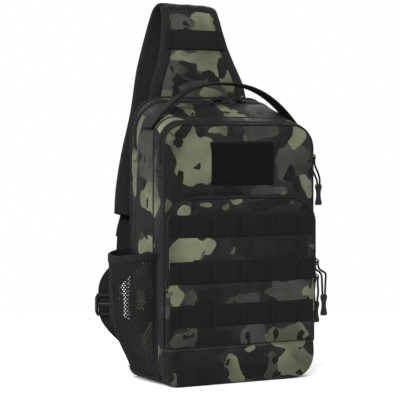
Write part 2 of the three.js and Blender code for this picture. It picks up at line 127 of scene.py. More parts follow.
def catmull(points, count):
    """Points on a centripetal Catmull-Rom curve through the given ones."""
    points = np.asarray(points, float)
    ends = [2 * points[0] - points[1], *points, 2 * points[-1] - points[-2]]
    made = []
    for i in range(count):
        place = i / (count - 1) * (len(points) - 1)
        k = min(int(place), len(points) - 2)
        t = place - k
        p = ends[k : k + 4]
        d = [max(np.linalg.norm(p[j + 1] - p[j]) ** 0.5, 1e-4) for j in range(3)]
        slope_a = ((p[1] - p[0]) / d[0] - (p[2] - p[0]) / (d[0] + d[1]) + (p[2] - p[1]) / d[1]) * d[1]
        slope_b = ((p[2] - p[1]) / d[1] - (p[3] - p[1]) / (d[1] + d[2]) + (p[3] - p[2]) / d[2]) * d[1]
        h = [2 * t**3 - 3 * t**2 + 1, t**3 - 2 * t**2 + t, -2 * t**3 + 3 * t**2, t**3 - t**2]
        made.append(h[0] * p[1] + h[1] * slope_a + h[2] * p[2] + h[3] * slope_b)
    return np.array(made)


def bumps(points, scale, seed, octaves=2):
    """Smooth noise from -1 to 1 at each point. scale is the size of its features."""
    shift = Vector((seed * 7.31, seed * 3.17, seed * 5.03))
    total = np.zeros(len(points))
    for k in range(octaves):
        f = 2**k / scale
        total += [noise.noise(Vector(p) * f + shift) / 2**k for p in points]
    return total


# ---------------------------------------------------------------- mesh making
def build(name, verts, faces, material, uvs=None, flat=False):
    """An object from points in millimetres. uvs holds one pair for each corner of each face."""
    mesh = bpy.data.meshes.new(name)
    mesh.from_pydata((np.asarray(verts) * MM).tolist(), [], faces)
    if uvs is not None:
        layer = mesh.uv_layers.new(name="UVMap")
        layer.data.foreach_set("uv", np.asarray(uvs, np.float32).ravel())
    mesh.polygons.foreach_set("use_smooth", [not flat] * len(mesh.polygons))
    mesh.materials.append(material)
    obj = bpy.data.objects.new(name, mesh)
    bpy.context.scene.collection.objects.link(obj)
    return obj


def grid_faces(rows, columns, start=0, wrap=False):
    """Quads over a grid of points, and each corner's place in a grid that has one more column if it wraps."""
    i, j = np.meshgrid(np.arange(rows - 1), np.arange(columns if wrap else columns - 1), indexing="ij")
    i, j = i.ravel(), j.ravel()
    corners = [(i, j), (i, j + 1), (i + 1, j + 1), (i + 1, j)]
    faces = np.stack([start + a * columns + b % columns for a, b in corners], axis=1)
    return faces, corners


def grid_uvs(grid, corners, wrap):
    """Texture places in metres: distance along the rows and along the columns."""
    if wrap:
        grid = np.concatenate([grid, grid[:, :1]], axis=1)
    along = np.cumsum(np.pad(np.linalg.norm(np.diff(grid, axis=0), axis=2), ((1, 0), (0, 0))), axis=0)
    across = np.cumsum(np.pad(np.linalg.norm(np.diff(grid, axis=1), axis=2), ((0, 0), (1, 0))), axis=1)
    along = np.repeat(along.mean(axis=1)[:, None], grid.shape[1], axis=1)
    return np.stack([np.stack([across[a, b], along[a, b]], axis=1) for a, b in corners], axis=1) * MM


def skin(name, grid, material, wrap=False, thickness=None, inside=None):
    """A surface over a grid of points. wrap closes its columns; thickness gives it an inner face."""
    faces, corners = grid_faces(*grid.shape[:2], wrap=wrap)
    uvs = grid_uvs(grid, corners, wrap)
    obj = build(name, grid.reshape(-1, 3), faces.tolist(), material, uvs.reshape(-1, 2))
    if thickness:
        shell = obj.modifiers.new("Thickness", "SOLIDIFY")
        shell.thickness, shell.offset = thickness * MM, -1
        if inside:
            obj.data.materials.append(inside)
            shell.material_offset = 1
    return obj


def sweep_parts(rings):
    """Points, faces and texture places of a closed tube through rings of points."""
    rings = np.asarray(rings, float)
    rows, columns = rings.shape[:2]
    faces, corners = grid_faces(rows, columns, wrap=True)
    uvs = list(grid_uvs(rings, corners, True).reshape(-1, 2))
    faces = [f[::-1] for f in faces.tolist()]
    uvs = [uv for k in range(0, len(uvs), 4) for uv in uvs[k : k + 4][::-1]]
    first, last = list(range(columns)), [(rows - 1) * columns + c for c in range(columns)]
    caps = [first, last[::-1]]
    uvs += [uvs[0]] * (2 * columns)
    return rings.reshape(-1, 3), faces + caps, uvs


def outward(verts, faces, uvs):
    """The same closed body with its faces turned outwards."""
    volume = 0.0
    for f in faces:
        a = verts[f[0]]
        for k in range(1, len(f) - 1):
            volume += np.dot(a, np.cross(verts[f[k]], verts[f[k + 1]]))
    if volume >= 0:
        return verts, faces, uvs
    turned, k = [], 0
    for f in faces:
        turned += uvs[k : k + len(f)][::-1]
        k += len(f)
    return verts, [f[::-1] for f in faces], turned


def sweep(name, rings, material):
    verts, faces, uvs = outward(*sweep_parts(rings))
    return build(name, verts, faces, material, uvs)


def joined(name, parts, material, flat=False):
    """One object from many closed bodies, each given as rings."""
    verts, faces, uvs, start = [], [], [], 0
    for rings in parts:
        v, f, t = outward(*sweep_parts(rings))
        verts.append(v)
        faces += [[start + k for k in face] for face in f]
        uvs += t
        start += len(v)
    return build(name, np.concatenate(verts), faces, material, uvs, flat)


def framed(path, across):
    """Tangent, width and height directions along a path, with the width kept close to across."""
    t = tangents(path)
    across = np.broadcast_to(np.asarray(across, float), t.shape)
    a = unit(across - (across * t).sum(axis=1)[:, None] * t)
    return t, a, np.cross(a, t)


def section_ring(centre, a, u, section):
    return centre + section[:, :1] * a + section[:, 1:] * u


def band_section(half, low, high, edge=0.45, steps=3):
    """Cross-section of a flat band with rounded edges: width first, then height."""
    r = (high - low) * edge
    points = []
    corners = [(half - r, low + r), (half - r, high - r), (r - half, high - r), (r - half, low + r)]
    for start, (cx, cz) in zip((-90, 0, 90, 180), corners):
        for k in range(steps + 1):
            angle = math.radians(start + 90 * k / steps)
            points.append((cx + r * math.cos(angle), cz + r * math.sin(angle)))
    return np.array(points)


def band_rings(path, across, half, low, high, cross=6):
    """Rings of a flat band along a path. half, low and high may each be a list."""
    _, a, u = framed(path, across)
    n = len(path)
    half, low, high = (np.broadcast_to(x, n) for x in (half, low, high))
    rings = []
    for i in range(n):
        section = band_section(half[i], low[i], high[i])
        quarter = len(section) // 4
        filled = []
        for k in range(4):
            part = section[k * quarter : (k + 1) * quarter]
            filled += list(part)
            nxt = section[((k + 1) * quarter) % len(section)]
            if k % 2 == 1:
                filled += [part[-1] + (nxt - part[-1]) * j / cross for j in range(1, cross)]
        rings.append(section_ring(path[i], a[i], u[i], np.array(filled)))
    return np.array(rings)


def tube_rings(path, radius, sides=8, start=(0, 0, 1)):
    """Rings of a round tube along a path, with round ends and no twist."""
    t = tangents(path)
    a = unit(np.cross(t[0], start)) if np.linalg.norm(np.cross(t[0], start)) > 1e-6 else X_AXIS
    radius = np.broadcast_to(radius, len(path))
    rings = []
    for i, p in enumerate(path):
        a = unit(a - np.dot(a, t[i]) * t[i])
        b = np.cross(t[i], a)
        angles = np.arange(sides) * 2 * math.pi / sides
        rings.append(p + radius[i] * (np.cos(angles)[:, None] * a + np.sin(angles)[:, None] * b))
    return np.array(rings)


def piping(name, path, radius, material):
    """A rolled fabric edge along a seam."""
    path = evenly(path, 2.5)
    taper = np.ones(len(path))
    taper[[0, -1]] = 0.35
    return sweep(name, tube_rings(path, radius * taper), material)


def points_of(mesh):
    """The mesh's points, in metres."""
    points = np.zeros(len(mesh.vertices) * 3)
    mesh.vertices.foreach_get("co", points)
    return points.reshape(-1, 3)


def move(obj, change):
    """Moves the mesh's points by change(points, normals), in millimetres."""
    mesh = obj.data
    normals = np.zeros(len(mesh.vertices) * 3, np.float32)
    mesh.vertex_normals.foreach_get("vector", normals)
    points, normals = points_of(mesh) / MM, normals.reshape(-1, 3).astype(float)
    mesh.vertices.foreach_set("co", ((points + change(points, normals)) * MM).ravel())
    mesh.update()


def lift_above(obj, height):
    """Raises any point that is lower than the height."""
    move(obj, lambda p, n: np.column_stack([0 * p[:, :2], np.maximum(height - p[:, 2], 0)]))


def evened(obj, step, times):
    """Each point's step averaged with its neighbours', so that the finest creases go and the folds stay."""
    ends = np.zeros(2 * len(obj.data.edges), int)
    obj.data.edges.foreach_get("vertices", ends)
    a, b = ends.reshape(-1, 2).T
    count = 1.0 + np.bincount(ends, minlength=len(step))
    for _ in range(times):
        total = step.copy()
        np.add.at(total, a, step[b])
        np.add.at(total, b, step[a])
        step = total / count[:, None]
    return step


CLOTH_MASS, STRETCH, SHEAR, BENDING = 0.15, 12, 4, 0.35


def add_cloth(obj, pressure, slack):
    """A cloth under pressure, a little larger than its shape, which runs before the other modifiers."""
    cloth = obj.modifiers.new("Cloth", "CLOTH")
    s = cloth.settings
    s.quality, s.mass = 6, CLOTH_MASS
    s.tension_stiffness = s.compression_stiffness = STRETCH
    s.shear_stiffness, s.bending_stiffness = SHEAR, BENDING
    s.use_pressure, s.uniform_pressure_force = True, pressure
    s.shrink_min = -slack
    s.vertex_group_mass = "sewn"
    s.effector_weights.gravity = 0
    cloth.collision_settings.use_collision = False
    obj.modifiers.move(len(obj.modifiers) - 1, 0)
    return cloth


EVENING = 4  # times the cloth's steps are averaged


def cloth_pass(obj, free, pressure, cap, slack=0.012, frames=20):
    """Lets the fabric find its own shape. Points where free is 0 stay sewn, and none moves past cap."""
    rest = points_of(obj.data)
    sewn = obj.vertex_groups.new(name="sewn")
    loose = np.asarray(free(rest / MM))
    for i, w in enumerate(1 - loose):
        if w > 0.01:
            sewn.add([i], float(w), "REPLACE")
    cloth = add_cloth(obj, pressure, slack)
    shown = [m for m in obj.modifiers if m.type != "CLOTH"]
    for m in shown:
        m.show_viewport = False
    scene = bpy.context.scene
    for f in range(1, frames + 1):
        scene.frame_set(f)
    settled = obj.evaluated_get(bpy.context.evaluated_depsgraph_get())
    step = points_of(settled.data) - rest
    size = np.linalg.norm(step, axis=1, keepdims=True)
    limit = cap * MM
    step *= limit * np.tanh(size / limit) / np.maximum(size, 1e-9)
    step = evened(obj, step, EVENING) * np.minimum(4 * loose, 1)[:, None]
    obj.modifiers.remove(cloth)
    obj.vertex_groups.remove(sewn)
    for m in shown:
        m.show_viewport = True
    obj.data.vertices.foreach_set("co", (rest + step).ravel())
    obj.data.update()
    scene.frame_set(1)


# ---------------------------------------------------------------- materials
class Shader:
    """A Principled material and short ways to add nodes to it."""

    def __init__(self, name, **settings):
        self.material = bpy.data.materials.new(name)
        self.material.use_nodes = True
        self.tree = self.material.node_tree
        self.bsdf = self.tree.nodes["Principled BSDF"]
        for key, value in settings.items():
            self.bsdf.inputs[key.replace("_", " ")].default_value = value

    def put(self, socket, value):
        if isinstance(value, bpy.types.NodeSocket):
            self.tree.links.new(value, socket)
        else:
            socket.default_value = value

    def node(self, kind, out=0, **inputs):
        n = self.tree.nodes.new("ShaderNode" + kind)
        for key, value in inputs.items():
            if key[0].isupper():
                self.put(n.inputs[key.replace("_", " ")], value)
            else:
                setattr(n, key, value)
        return n.outputs[out]

    def fed(self, kind, operation, values):
        n = self.tree.nodes.new("ShaderNode" + kind)
        n.operation = operation
        for socket, value in zip(n.inputs, values):
            self.put(socket, value)
        return n.outputs[0]

    def math(self, operation, *values):
        return self.fed("Math", operation, values)

    def add(self, *values):
        return self.math("ADD", *values)

    def times(self, *values):
        return self.math("MULTIPLY", *values)

    def vector(self, operation, *values):
        return self.fed("VectorMath", operation, values)

    def shifted(self, *vectors):
        return self.vector("ADD", *vectors)

    def scaled(self, vector, factor):
        return self.node("VectorMath", operation="SCALE", Vector=vector, Scale=factor)

    def mix(self, share, a, b):
        n = self.tree.nodes.new("ShaderNodeMix")
        n.data_type = "RGBA"
        self.put(n.inputs[0], share)
        self.put(n.inputs[6], a)
        self.put(n.inputs[7], b)
        return n.outputs[2]

    def ramp(self, value, low, high):
        """0 below low and 1 above high."""
        return self.node("MapRange", Value=value, From_Min=low, From_Max=high)

    def noise(self, vector, scale, detail=2.0, rough=0.5, out=0):
        return self.node("TexNoise", out=out, Vector=vector, Scale=scale, Detail=detail, Roughness=rough)

    def bump(self, height, strength, distance, under=None):
        below = {} if under is None else {"Normal": under}
        return self.node("Bump", Strength=strength, Distance=distance, Height=height, **below)

    def uv(self):
        return self.node("TexCoord", out=2)

    def place(self):
        return self.node("TexCoord", out=3)

    def parts(self, vector):
        n = self.tree.nodes.new("ShaderNodeSeparateXYZ")
        self.put(n.inputs[0], vector)
        return n.outputs[:3]

    def finish(self, **links):
        for key, value in links.items():
            self.put(self.bsdf.inputs[key.replace("_", " ")], value)
        return self.material


def rgb(r, g, b):
    return (r, g, b, 1.0)


def weave(m, uv, pitch):
    """Height of a plain weave: threads over and under at a pitch in metres."""
    u, v, _ = m.parts(uv)
    turn = 2 * math.pi / pitch
    across = m.math("SINE", m.times(u, turn))
    along = m.math("SINE", m.times(v, turn))
    return m.times(across, along)


INK = rgb(0.0036, 0.0036, 0.0037)
CHARCOAL = rgb(0.0105, 0.0104, 0.0104)
GREY = rgb(0.072, 0.073, 0.064)
DARK_OLIVE = rgb(0.098, 0.101, 0.064)
KHAKI = rgb(0.262, 0.268, 0.172)


def camo(name, shift=(0, 0, 0)):
    """Printed polyester: soft grounds under crisp wavy patches, pushed into place by three attributes."""
    m = Shader(name, Sheen_Weight=0.03, Sheen_Roughness=0.5, Specular_IOR_Level=0.20)
    p = m.shifted(m.place(), shift)
    wide = m.vector("SUBTRACT", m.noise(p, 24.0, 1.0, out=1), (0.5, 0.5, 0.5))
    fine = m.vector("SUBTRACT", m.noise(p, 90.0, 1.0, out=1), (0.5, 0.5, 0.5))
    warped = m.shifted(p, m.shifted(m.scaled(wide, 0.028), m.scaled(fine, 0.010)))

    def layer(offset, scale, attribute):
        field = m.noise(m.shifted(warped, offset), scale, 1.5)
        pushed = m.add(field, m.node("Attribute", out=2, attribute_name=attribute))
        return m.ramp(pushed, 0.575, 0.581)

    def clouds(offset, scale, low, high, a, b):
        return m.mix(m.ramp(m.noise(m.shifted(p, offset), scale, 2.0), low, high), a, b)

    ground = clouds((0, 0, 0), 19.0, 0.42, 0.72, CHARCOAL, rgb(0.028, 0.028, 0.0265))
    grey = clouds((4.0, 1.0, 2.0), 22.0, 0.35, 0.62, rgb(0.032, 0.032, 0.029), GREY)
    colour = m.mix(layer((5.7, 0.4, 3.3), 21.0, "camo_grey"), ground, grey)
    khaki = clouds((1.0, 6.0, 2.0), 19.0, 0.36, 0.66, DARK_OLIVE, KHAKI)
    colour = m.mix(layer((0, 0, 0), 20.0, "camo_light"), colour, khaki)
    ink = clouds((2.0, 3.0, 9.0), 26.0, 0.45, 0.72, INK, CHARCOAL)
    colour = m.mix(layer((3.1, 1.7, 0.6), 24.0, "camo_dark"), colour, ink)
    tall = m.vector("MULTIPLY", warped, (1.0, 1.0, 0.55))
    leaf = m.noise(m.shifted(tall, (0.3, 5.1, 2.2)), 78.0, 0.3)
    colour = m.mix(m.ramp(leaf, 0.70, 0.71), colour, INK)
    speck = m.noise(m.shifted(warped, (7.3, 0.9, 4.4)), 52.0, 0.5)
    colour = m.mix(m.ramp(speck, 0.74, 0.75), colour, DARK_OLIVE)
    threads = weave(m, m.uv(), 0.00105)
    grain = m.noise(p, 900.0, 2.0)
    shade = m.add(m.times(threads, 0.04), m.times(grain, 0.16))
    colour = m.mix(m.math("SUBTRACT", shade, 0.05), colour, rgb(0.14, 0.14, 0.13))
    crease = m.bump(m.noise(p, 42.0, 3.0, 0.6), 0.30, 0.0022)
    relief = m.bump(m.add(threads, grain), 0.5, 0.0002, crease)
    rough = m.add(0.50, m.times(m.noise(p, 60.0), 0.22))
    return m.finish(Base_Color=colour, Normal=relief, Roughness=rough)


def ribbed(name, dark, pale, pitch, cross_pitch, **settings):
    """Woven webbing or binding: ribs across the width, finer threads along it."""
    m = Shader(name, Sheen_Weight=0.02, Sheen_Roughness=0.5, Specular_IOR_Level=0.18, **settings)
    u, v, _ = m.parts(m.uv())
    ribs = m.math("SINE", m.times(v, 2 * math.pi / pitch))
    threads = m.math("SINE", m.times(u, 2 * math.pi / cross_pitch))
    height = m.add(m.times(ribs, 0.6), m.times(threads, 0.4))
    fuzz = m.noise(m.place(), 1400.0, 2.0)
    worn = m.noise(m.place(), 55.0, 3.0)
    share = m.add(m.times(m.add(height, fuzz), 0.16), m.times(worn, 0.40))
    relief = m.bump(m.add(height, fuzz), 0.55, 0.0003)
    rough = m.add(0.58, m.times(fuzz, 0.2))
    return m.finish(Base_Color=m.mix(share, dark, pale), Normal=relief, Roughness=rough)


def plain_weave(name, dark, pale, pitch=0.0009, rough=0.7):
    """Black pack cloth for linings, tapes and rolled edges."""
    m = Shader(name, Sheen_Weight=0.02, Sheen_Roughness=0.5, Specular_IOR_Level=0.18)
    threads = weave(m, m.uv(), pitch)
    grain = m.noise(m.place(), 800.0, 2.0)
    share = m.add(m.times(threads, 0.15), m.times(m.noise(m.place(), 50.0, 3.0), 0.7))
    relief = m.bump(m.add(threads, grain), 0.5, 0.00025)
    return m.finish(Base_Color=m.mix(share, dark, pale), Normal=relief, Roughness=rough)


def air_mesh(name):
    """Spacer mesh: rows of small open cells, painted darker inside as shade in their hollows."""
    m = Shader(name, Roughness=0.85, Sheen_Weight=0.03, Sheen_Roughness=0.6, Specular_IOR_Level=0.15)
    cells = m.node("TexVoronoi", Vector=m.uv(), Scale=330.0, Randomness=0.25)
    hole = m.ramp(cells, 0.16, 0.42)
    # The open cells get a near-black colour: painted shade in their hollows.
    colour = m.mix(hole, rgb(0.0045, 0.0045, 0.0047), rgb(0.021, 0.0206, 0.0200))
    worn = m.mix(m.times(m.noise(m.place(), 45.0, 3.0), 0.4), colour, rgb(0.027, 0.0265, 0.0255))
    relief = m.bump(hole, 0.8, 0.0007, m.bump(m.noise(m.place(), 1500.0), 0.3, 0.0002))
    return m.finish(Base_Color=worn, Normal=relief)


def pile(name):
    """Loop pile: a dense fuzz with no shine."""
    m = Shader(name, Roughness=0.95, Sheen_Weight=0.03, Sheen_Roughness=0.7, Specular_IOR_Level=0.1)
    curls = m.node("TexVoronoi", Vector=m.place(), Scale=1100.0)
    fuzz = m.noise(m.place(), 420.0, 4.0, 0.7)
    share = m.times(m.add(curls, fuzz), 0.5)
    relief = m.bump(m.add(curls, fuzz), 0.9, 0.0006)
    colour = m.mix(share, rgb(0.0006, 0.0006, 0.0006), rgb(0.0055, 0.0055, 0.0054))
    return m.finish(Base_Color=colour, Normal=relief)


def metal(name):
    m = Shader(name, Metallic=0.85, Specular_IOR_Level=0.5)
    wear = m.noise(m.place(), 380.0, 3.0)
    colour = m.mix(m.ramp(wear, 0.5, 0.72), rgb(0.045, 0.045, 0.047), rgb(0.27, 0.27, 0.265))
    rough = m.add(0.24, m.times(wear, 0.2))
    return m.finish(Base_Color=colour, Roughness=rough, Normal=m.bump(wear, 0.2, 0.0002))


def moulded(name, colour, pale, rough):
    m = Shader(name, Specular_IOR_Level=0.32)
    grain = m.noise(m.place(), 1600.0, 2.0)
    colour = m.mix(m.times(m.noise(m.place(), 130.0, 2.0), 0.8), colour, pale)
    rough = m.add(rough, m.times(grain, 0.12))
    return m.finish(Base_Color=colour, Roughness=rough, Normal=m.bump(grain, 0.25, 0.00015))


def thread_material(name, colour, pale):
    m = Shader(name, Roughness=0.6, Specular_IOR_Level=0.25)
    twist = m.noise(m.place(), 2200.0, 1.0)
    return m.finish(Base_Color=m.mix(twist, colour, pale))


CAMO = {
    "front": camo("camo_front", (0.113, 0.02, 0.31)),
    "side": camo("camo_side", (1.31, 0.44, 0.07)),
    "middle": camo("camo_middle", (2.27, 1.13, 0.61)),
    "pocket": camo("camo_pocket", (3.05, 0.35, 1.27)),
    "boot": camo("camo_boot", (0.71, 2.15, 1.91)),
    "strap": camo("camo_strap", (1.93, 3.3, 0.42)),
}
WEBBING = ribbed("webbing", rgb(0.0050, 0.0050, 0.0052), rgb(0.0185, 0.0185, 0.0183), 0.0016, 0.0009)
BINDING = ribbed("binding", rgb(0.0095, 0.0095, 0.0097), rgb(0.0350, 0.0350, 0.0345), 0.0011, 0.0011)
ELASTIC = ribbed("elastic", rgb(0.0085, 0.0085, 0.0087), rgb(0.0260, 0.0260, 0.0255), 0.0018, 0.0012)
LINING = plain_weave("lining", rgb(0.0070, 0.0070, 0.0072), rgb(0.0210, 0.0210, 0.0208))
TAPE = plain_weave("zip_tape", rgb(0.0060, 0.0060, 0.0062), rgb(0.0180, 0.0180, 0.0178), 0.0007)
ROLLED = plain_weave("rolled_edge", rgb(0.0085, 0.0085, 0.0087), rgb(0.0280, 0.0280, 0.0275), 0.0008, 0.5)
AIR_MESH = air_mesh("air_mesh")
PILE = pile("loop_pile")
METAL = metal("zip_metal")
COIL = moulded("zip_coil", rgb(0.0070, 0.0070, 0.0072), rgb(0.0300, 0.0300, 0.0300), 0.38)
GRIP = moulded("grip_plastic", rgb(0.0090, 0.0090, 0.0092), rgb(0.0380, 0.0380, 0.0380), 0.42)
BUCKLE = moulded("hard_plastic", rgb(0.0070, 0.0070, 0.0072), rgb(0.0220, 0.0220, 0.0220), 0.36)
CORD = plain_weave("cord_braid", rgb(0.0075, 0.0075, 0.0077), rgb(0.0280, 0.0280, 0.0275), 0.0008, 0.6)
NET = moulded("net_thread", rgb(0.0060, 0.0060, 0.0062), rgb(0.0240, 0.0240, 0.0236), 0.52)
THREAD = thread_material("thread_black", rgb(0.0080, 0.0080, 0.0080), rgb(0.0260, 0.0260, 0.0255))
OLIVE_THREAD = thread_material("thread_olive", rgb(0.050, 0.050, 0.038), rgb(0.130, 0.130, 0.100))


def dress(obj, body, slot, *nodes):
    """The piece rides on a body and stands for CAD nodes, which it hides. Its slot is not used."""
    if body:
        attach(obj, body)
    if nodes:
        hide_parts(*nodes)
    return obj


# The print's patches on the sides most looked at, and a painted highlight among the khaki ones: centre, then
# reach along X, Y and Z.
KHAKI_AND_HIGHLIGHT_PATCHES = [
    # front panel
    ((-60, -51, 254), (31, 14, 36)), ((-87, -50, 276), (7, 12, 8)), ((-25, -50, 286), (13, 12, 9)),
    ((75, -50, 278), (12, 14, 15)), ((91, -48, 222), (6, 14, 12)),
    # front pocket and the strip beside its zip
    ((-73, -57, 197), (11, 10, 7)), ((-47, -57, 202), (14, 10, 9)), ((-8, -57, 209), (5, 8, 5)),
    ((-66, -57, 156), (29, 12, 14)), ((81, -57, 150), (6, 10, 6)), ((-88, -56, 104), (6, 10, 11)),
    ((58, -57, 52), (30, 12, 14)), ((-92, -54, 112), (7, 8, 6)),
    # base
    ((-13, -57, 19), (11, 14, 21)), ((14, -58, 20), (8, 10, 9)), ((8, -57, 37), (10, 10, 5)),
    ((66, -57, 21), (23, 16, 19)),
    # left side, top and strap
    # The first two left-side patches, along the back edge, are khaki print with a painted highlight laid over
    # it.
    ((-95, 37, 246), (12, 10, 38)), ((-93, 26, 290), (12, 14, 16)), ((-96, -13, 206), (12, 26, 17)),
    ((-96, -8, 157), (12, 26, 9)), ((-94, -12, 46), (14, 26, 24)), ((-95, 12, 92), (12, 20, 14)),
    ((-84, -32, 299), (18, 26, 14)),
    ((-40, 6, 311), (11, 16, 14)), ((8, -6, 307), (7, 44, 16)), ((20, -24, 301), (5, 24, 12)),
    ((78, -34, 296), (9, 18, 12)), ((14, 72, 418), (18, 16, 14)), ((-17, 62, 378), (16, 12, 4)),
    ((14, 60, 370), (18, 16, 17)), ((38, 56, 352), (7, 14, 13)), ((-42, 52, 329), (10, 14, 9)),
    ((8, 54, 330), (16, 12, 8)), ((26, 72, 410), (12, 14, 14)), ((0, 60, 376), (24, 14, 7)),
]
GREY_PATCHES = [
    ((23, -50, 284), (23, 12, 10)), ((70, -50, 248), (24, 12, 28)), ((38, -50, 217), (22, 10, 8)),
    ((-73, -57, 102), (15, 10, 12)), ((2, -57, 94), (24, 10, 10)), ((57, -57, 103), (28, 10, 11)),
    ((-75, -57, 55), (16, 12, 12)), ((13, -57, 52), (22, 12, 13)), ((38, -57, 16), (10, 14, 17)),
    ((-93, -54, 88), (7, 8, 12)), ((-96, 4, 252), (14, 26, 36)), ((-96, 10, 110), (12, 40, 18)),
    ((44, -10, 303), (20, 24, 12)), ((-16, 72, 419), (14, 14, 12)), ((-18, 60, 368), (17, 14, 12)),
    ((-28, 52, 336), (16, 12, 10)), ((20, 52, 340), (14, 12, 8)), ((-22, 70, 408), (14, 14, 10)),
    ((-10, 54, 344), (30, 12, 8)), ((0, 62, 375), (70, 30, 60)), ((-96, 2, 246), (14, 38, 52)),
]
DARK_PATCHES = [
    # front panel
    ((-78, -51, 230), (14, 10, 11)), ((-58, -51, 217), (11, 10, 9)), ((-48, -50, 284), (7, 10, 9)),
    ((-12, -50, 287), (5, 10, 8)), ((57, -50, 277), (8, 12, 14)), ((65, -51, 234), (9, 8, 8)),
    ((74, -51, 222), (8, 8, 8)), ((-12, -50, 218), (22, 10, 6)), ((-72, -50, 284), (8, 10, 7)),
    # front pocket
    ((-88, -57, 190), (8, 10, 9)), ((-61, -57, 203), (5, 8, 7)), ((30, -57, 199), (40, 10, 7)),
    ((34, -57, 156), (64, 12, 18)), ((-42, -57, 102), (16, 12, 14)), ((28, -57, 110), (14, 10, 8)),
    ((-36, -57, 52), (24, 12, 14)), ((78, -58, 52), (5, 6, 4)), ((58, -58, 44), (5, 6, 3)),
    ((88, -57, 44), (4, 6, 4)), ((-93, -54, 66), (7, 8, 14)),
    # base
    ((-66, -56, 20), (40, 20, 30)), ((14, -57, 20), (19, 12, 17)), ((53, -58, 36), (6, 6, 4)),
    ((76, -58, 39), (6, 6, 3)), ((66, -58, 28), (4, 6, 4)), ((44, -58, 9), (6, 8, 4)),
    # left side, top and strap
    ((-96, 12, 222), (12, 22, 10)), ((-96, 8, 181), (12, 40, 15)), ((-96, 30, 140), (12, 22, 14)),
    ((-57, -9, 306), (12, 18, 12)), ((-27, -14, 304), (13, 34, 14)), ((8, -36, 297), (5, 10, 9)),
    ((62, -5, 306), (24, 34, 14)), ((-95, 6, 296), (10, 16, 10)), ((-6, 68, 409), (6, 8, 4)),
    ((-13, 58, 363), (4, 8, 6)), ((-25, 55, 352), (11, 12, 5)), ((32, 59, 366), (7, 12, 10)),
    ((14, 55, 350), (11, 12, 4)), ((10, 52, 320), (44, 12, 4)), ((-94, -40, 240), (10, 10, 20)),
]
PATCH_EDGE = 0.075  # the push at a patch's edge
PATCH_SLOPE, LEAST_PUSH, MOST_PUSH = 0.36, -0.19, 0.3


def wavy(points):
    """The points pushed about by smooth noise, so that patches laid over them have lobed outlines."""
    for size, amount in ((28.0, 9.0), (11.0, 4.5)):
        points = points + amount * np.stack([bumps(points, size, 20 + k, 1) for k in range(3)], axis=1)
    return points


def patch_field(points, patches):
    """How strongly the listed patches push the print. It fades out round the bag's right side."""
    field = np.full(len(points), PATCH_EDGE + LEAST_PUSH)
    for centre, reach in patches:
        away = (((points - centre) / np.array(reach, float)) ** 2).sum(axis=1)
        field = np.maximum(field, PATCH_EDGE + np.clip(PATCH_SLOPE * (1 - away), LEAST_PUSH, MOST_PUSH))
    return field * (1 - smooth((points[:, 0] - 88) / 7))


def print_on(obj):
    """Stores the push of the listed patches at each point of a printed cloth."""
    points = wavy(points_of(obj.data) / MM)
    khaki = patch_field(points, KHAKI_AND_HIGHLIGHT_PATCHES)
    dark = patch_field(points, DARK_PATCHES) - 0.6 * np.clip(khaki - PATCH_EDGE, 0, 0.2)
    grey = patch_field(points, GREY_PATCHES)
    for name, field in (("camo_light", khaki), ("camo_dark", dark), ("camo_grey", grey)):
        layer = obj.data.attributes.new(name, "FLOAT", "POINT")
        layer.data.foreach_set("value", field.astype(np.float32))
    return obj


# ---------------------------------------------------------------- camera
VIEW_FORWARD = unit((0.469, 0.883, 0.0))
EYE_DISTANCE, EYE_HEIGHT = 1754.0, 268.0
LENS, SHIFT = 134.9, (-0.0495, -0.1327)


def make_camera():
    """A level camera at the height of the bag's upper front. Its shift moves the bag within the picture."""
    data = bpy.data.cameras.new("Camera")
    data.lens, data.sensor_width = LENS, 36.0
    data.shift_x, data.shift_y = SHIFT
    data.clip_end = 50
    camera = bpy.data.objects.new("Camera", data)
    bpy.context.scene.collection.objects.link(camera)
    camera.location = (Vector(-VIEW_FORWARD * EYE_DISTANCE) + Vector((0, 0, EYE_HEIGHT))) * MM
    camera.rotation_mode = "QUATERNION"
    camera.rotation_quaternion = Vector(VIEW_FORWARD).to_track_quat("-Z", "Y")
    bpy.context.scene.camera = camera


make_camera()


# ---------------------------------------------------------------- zip sliders: where each one stands
SLOPE = math.atan(TOP_SLOPE)
TOP_NORMAL = np.array([0, -math.sin(SLOPE), math.cos(SLOPE)])
UP_SLOPE = np.array([0, math.cos(SLOPE), math.sin(SLOPE)])
OVER_ZIP = 1.6
PLATE, CLEAR = 2.4, 3.4  # slider's plate, and the opening below its bridge
STRAIGHT, LOOP_RADIUS, CORD_RADIUS, CORD_END = 6.0, 3.4, 1.2, 1.7
GRIP_START, GRIP_LENGTH, GRIP_WIDTH, GRIP_THICKNESS = -0.4, 25.0, 8.5, 4.2  # it starts over the cord's end


def on_top(x):
    at = np.array([x, MAIN_ZIP_Y, top_at(MAIN_ZIP_Y)]) + TOP_NORMAL * OVER_ZIP
    return dict(at=at, along=X_AXIS, across=UP_SLOPE, normal=TOP_NORMAL,
                cord=17, reach=8.5, turn=1.75, out=-2.9, side=-5, fans=True, twist=0.0)


def on_side(x, y, z, **pull):
    return dict(at=np.array([x, y, z]), along=Z_AXIS, across=-Y_AXIS, normal=X_AXIS,
                turn=0.0, fans=False, twist=math.pi / 2, **pull)


MIDDLE_X = half_at(MIDDLE_ZIP_Y) + OVER_ZIP
POCKET_X = POCKET_HALF + 0.3
SLIDERS = {
    "main_left": on_top(17),
    "main_right": on_top(47),
    "middle": on_side(MIDDLE_X, MIDDLE_ZIP_Y, 256, cord=32, reach=24, out=7.5, side=0),
    "pocket_lower": on_side(POCKET_X, POCKET_ZIP_Y, 115.5, cord=29, reach=23, out=2.5, side=-4.6),
    "pocket_upper": on_side(POCKET_X, POCKET_ZIP_Y, 133.5, cord=38, reach=9, out=6.3, side=6.4),
}


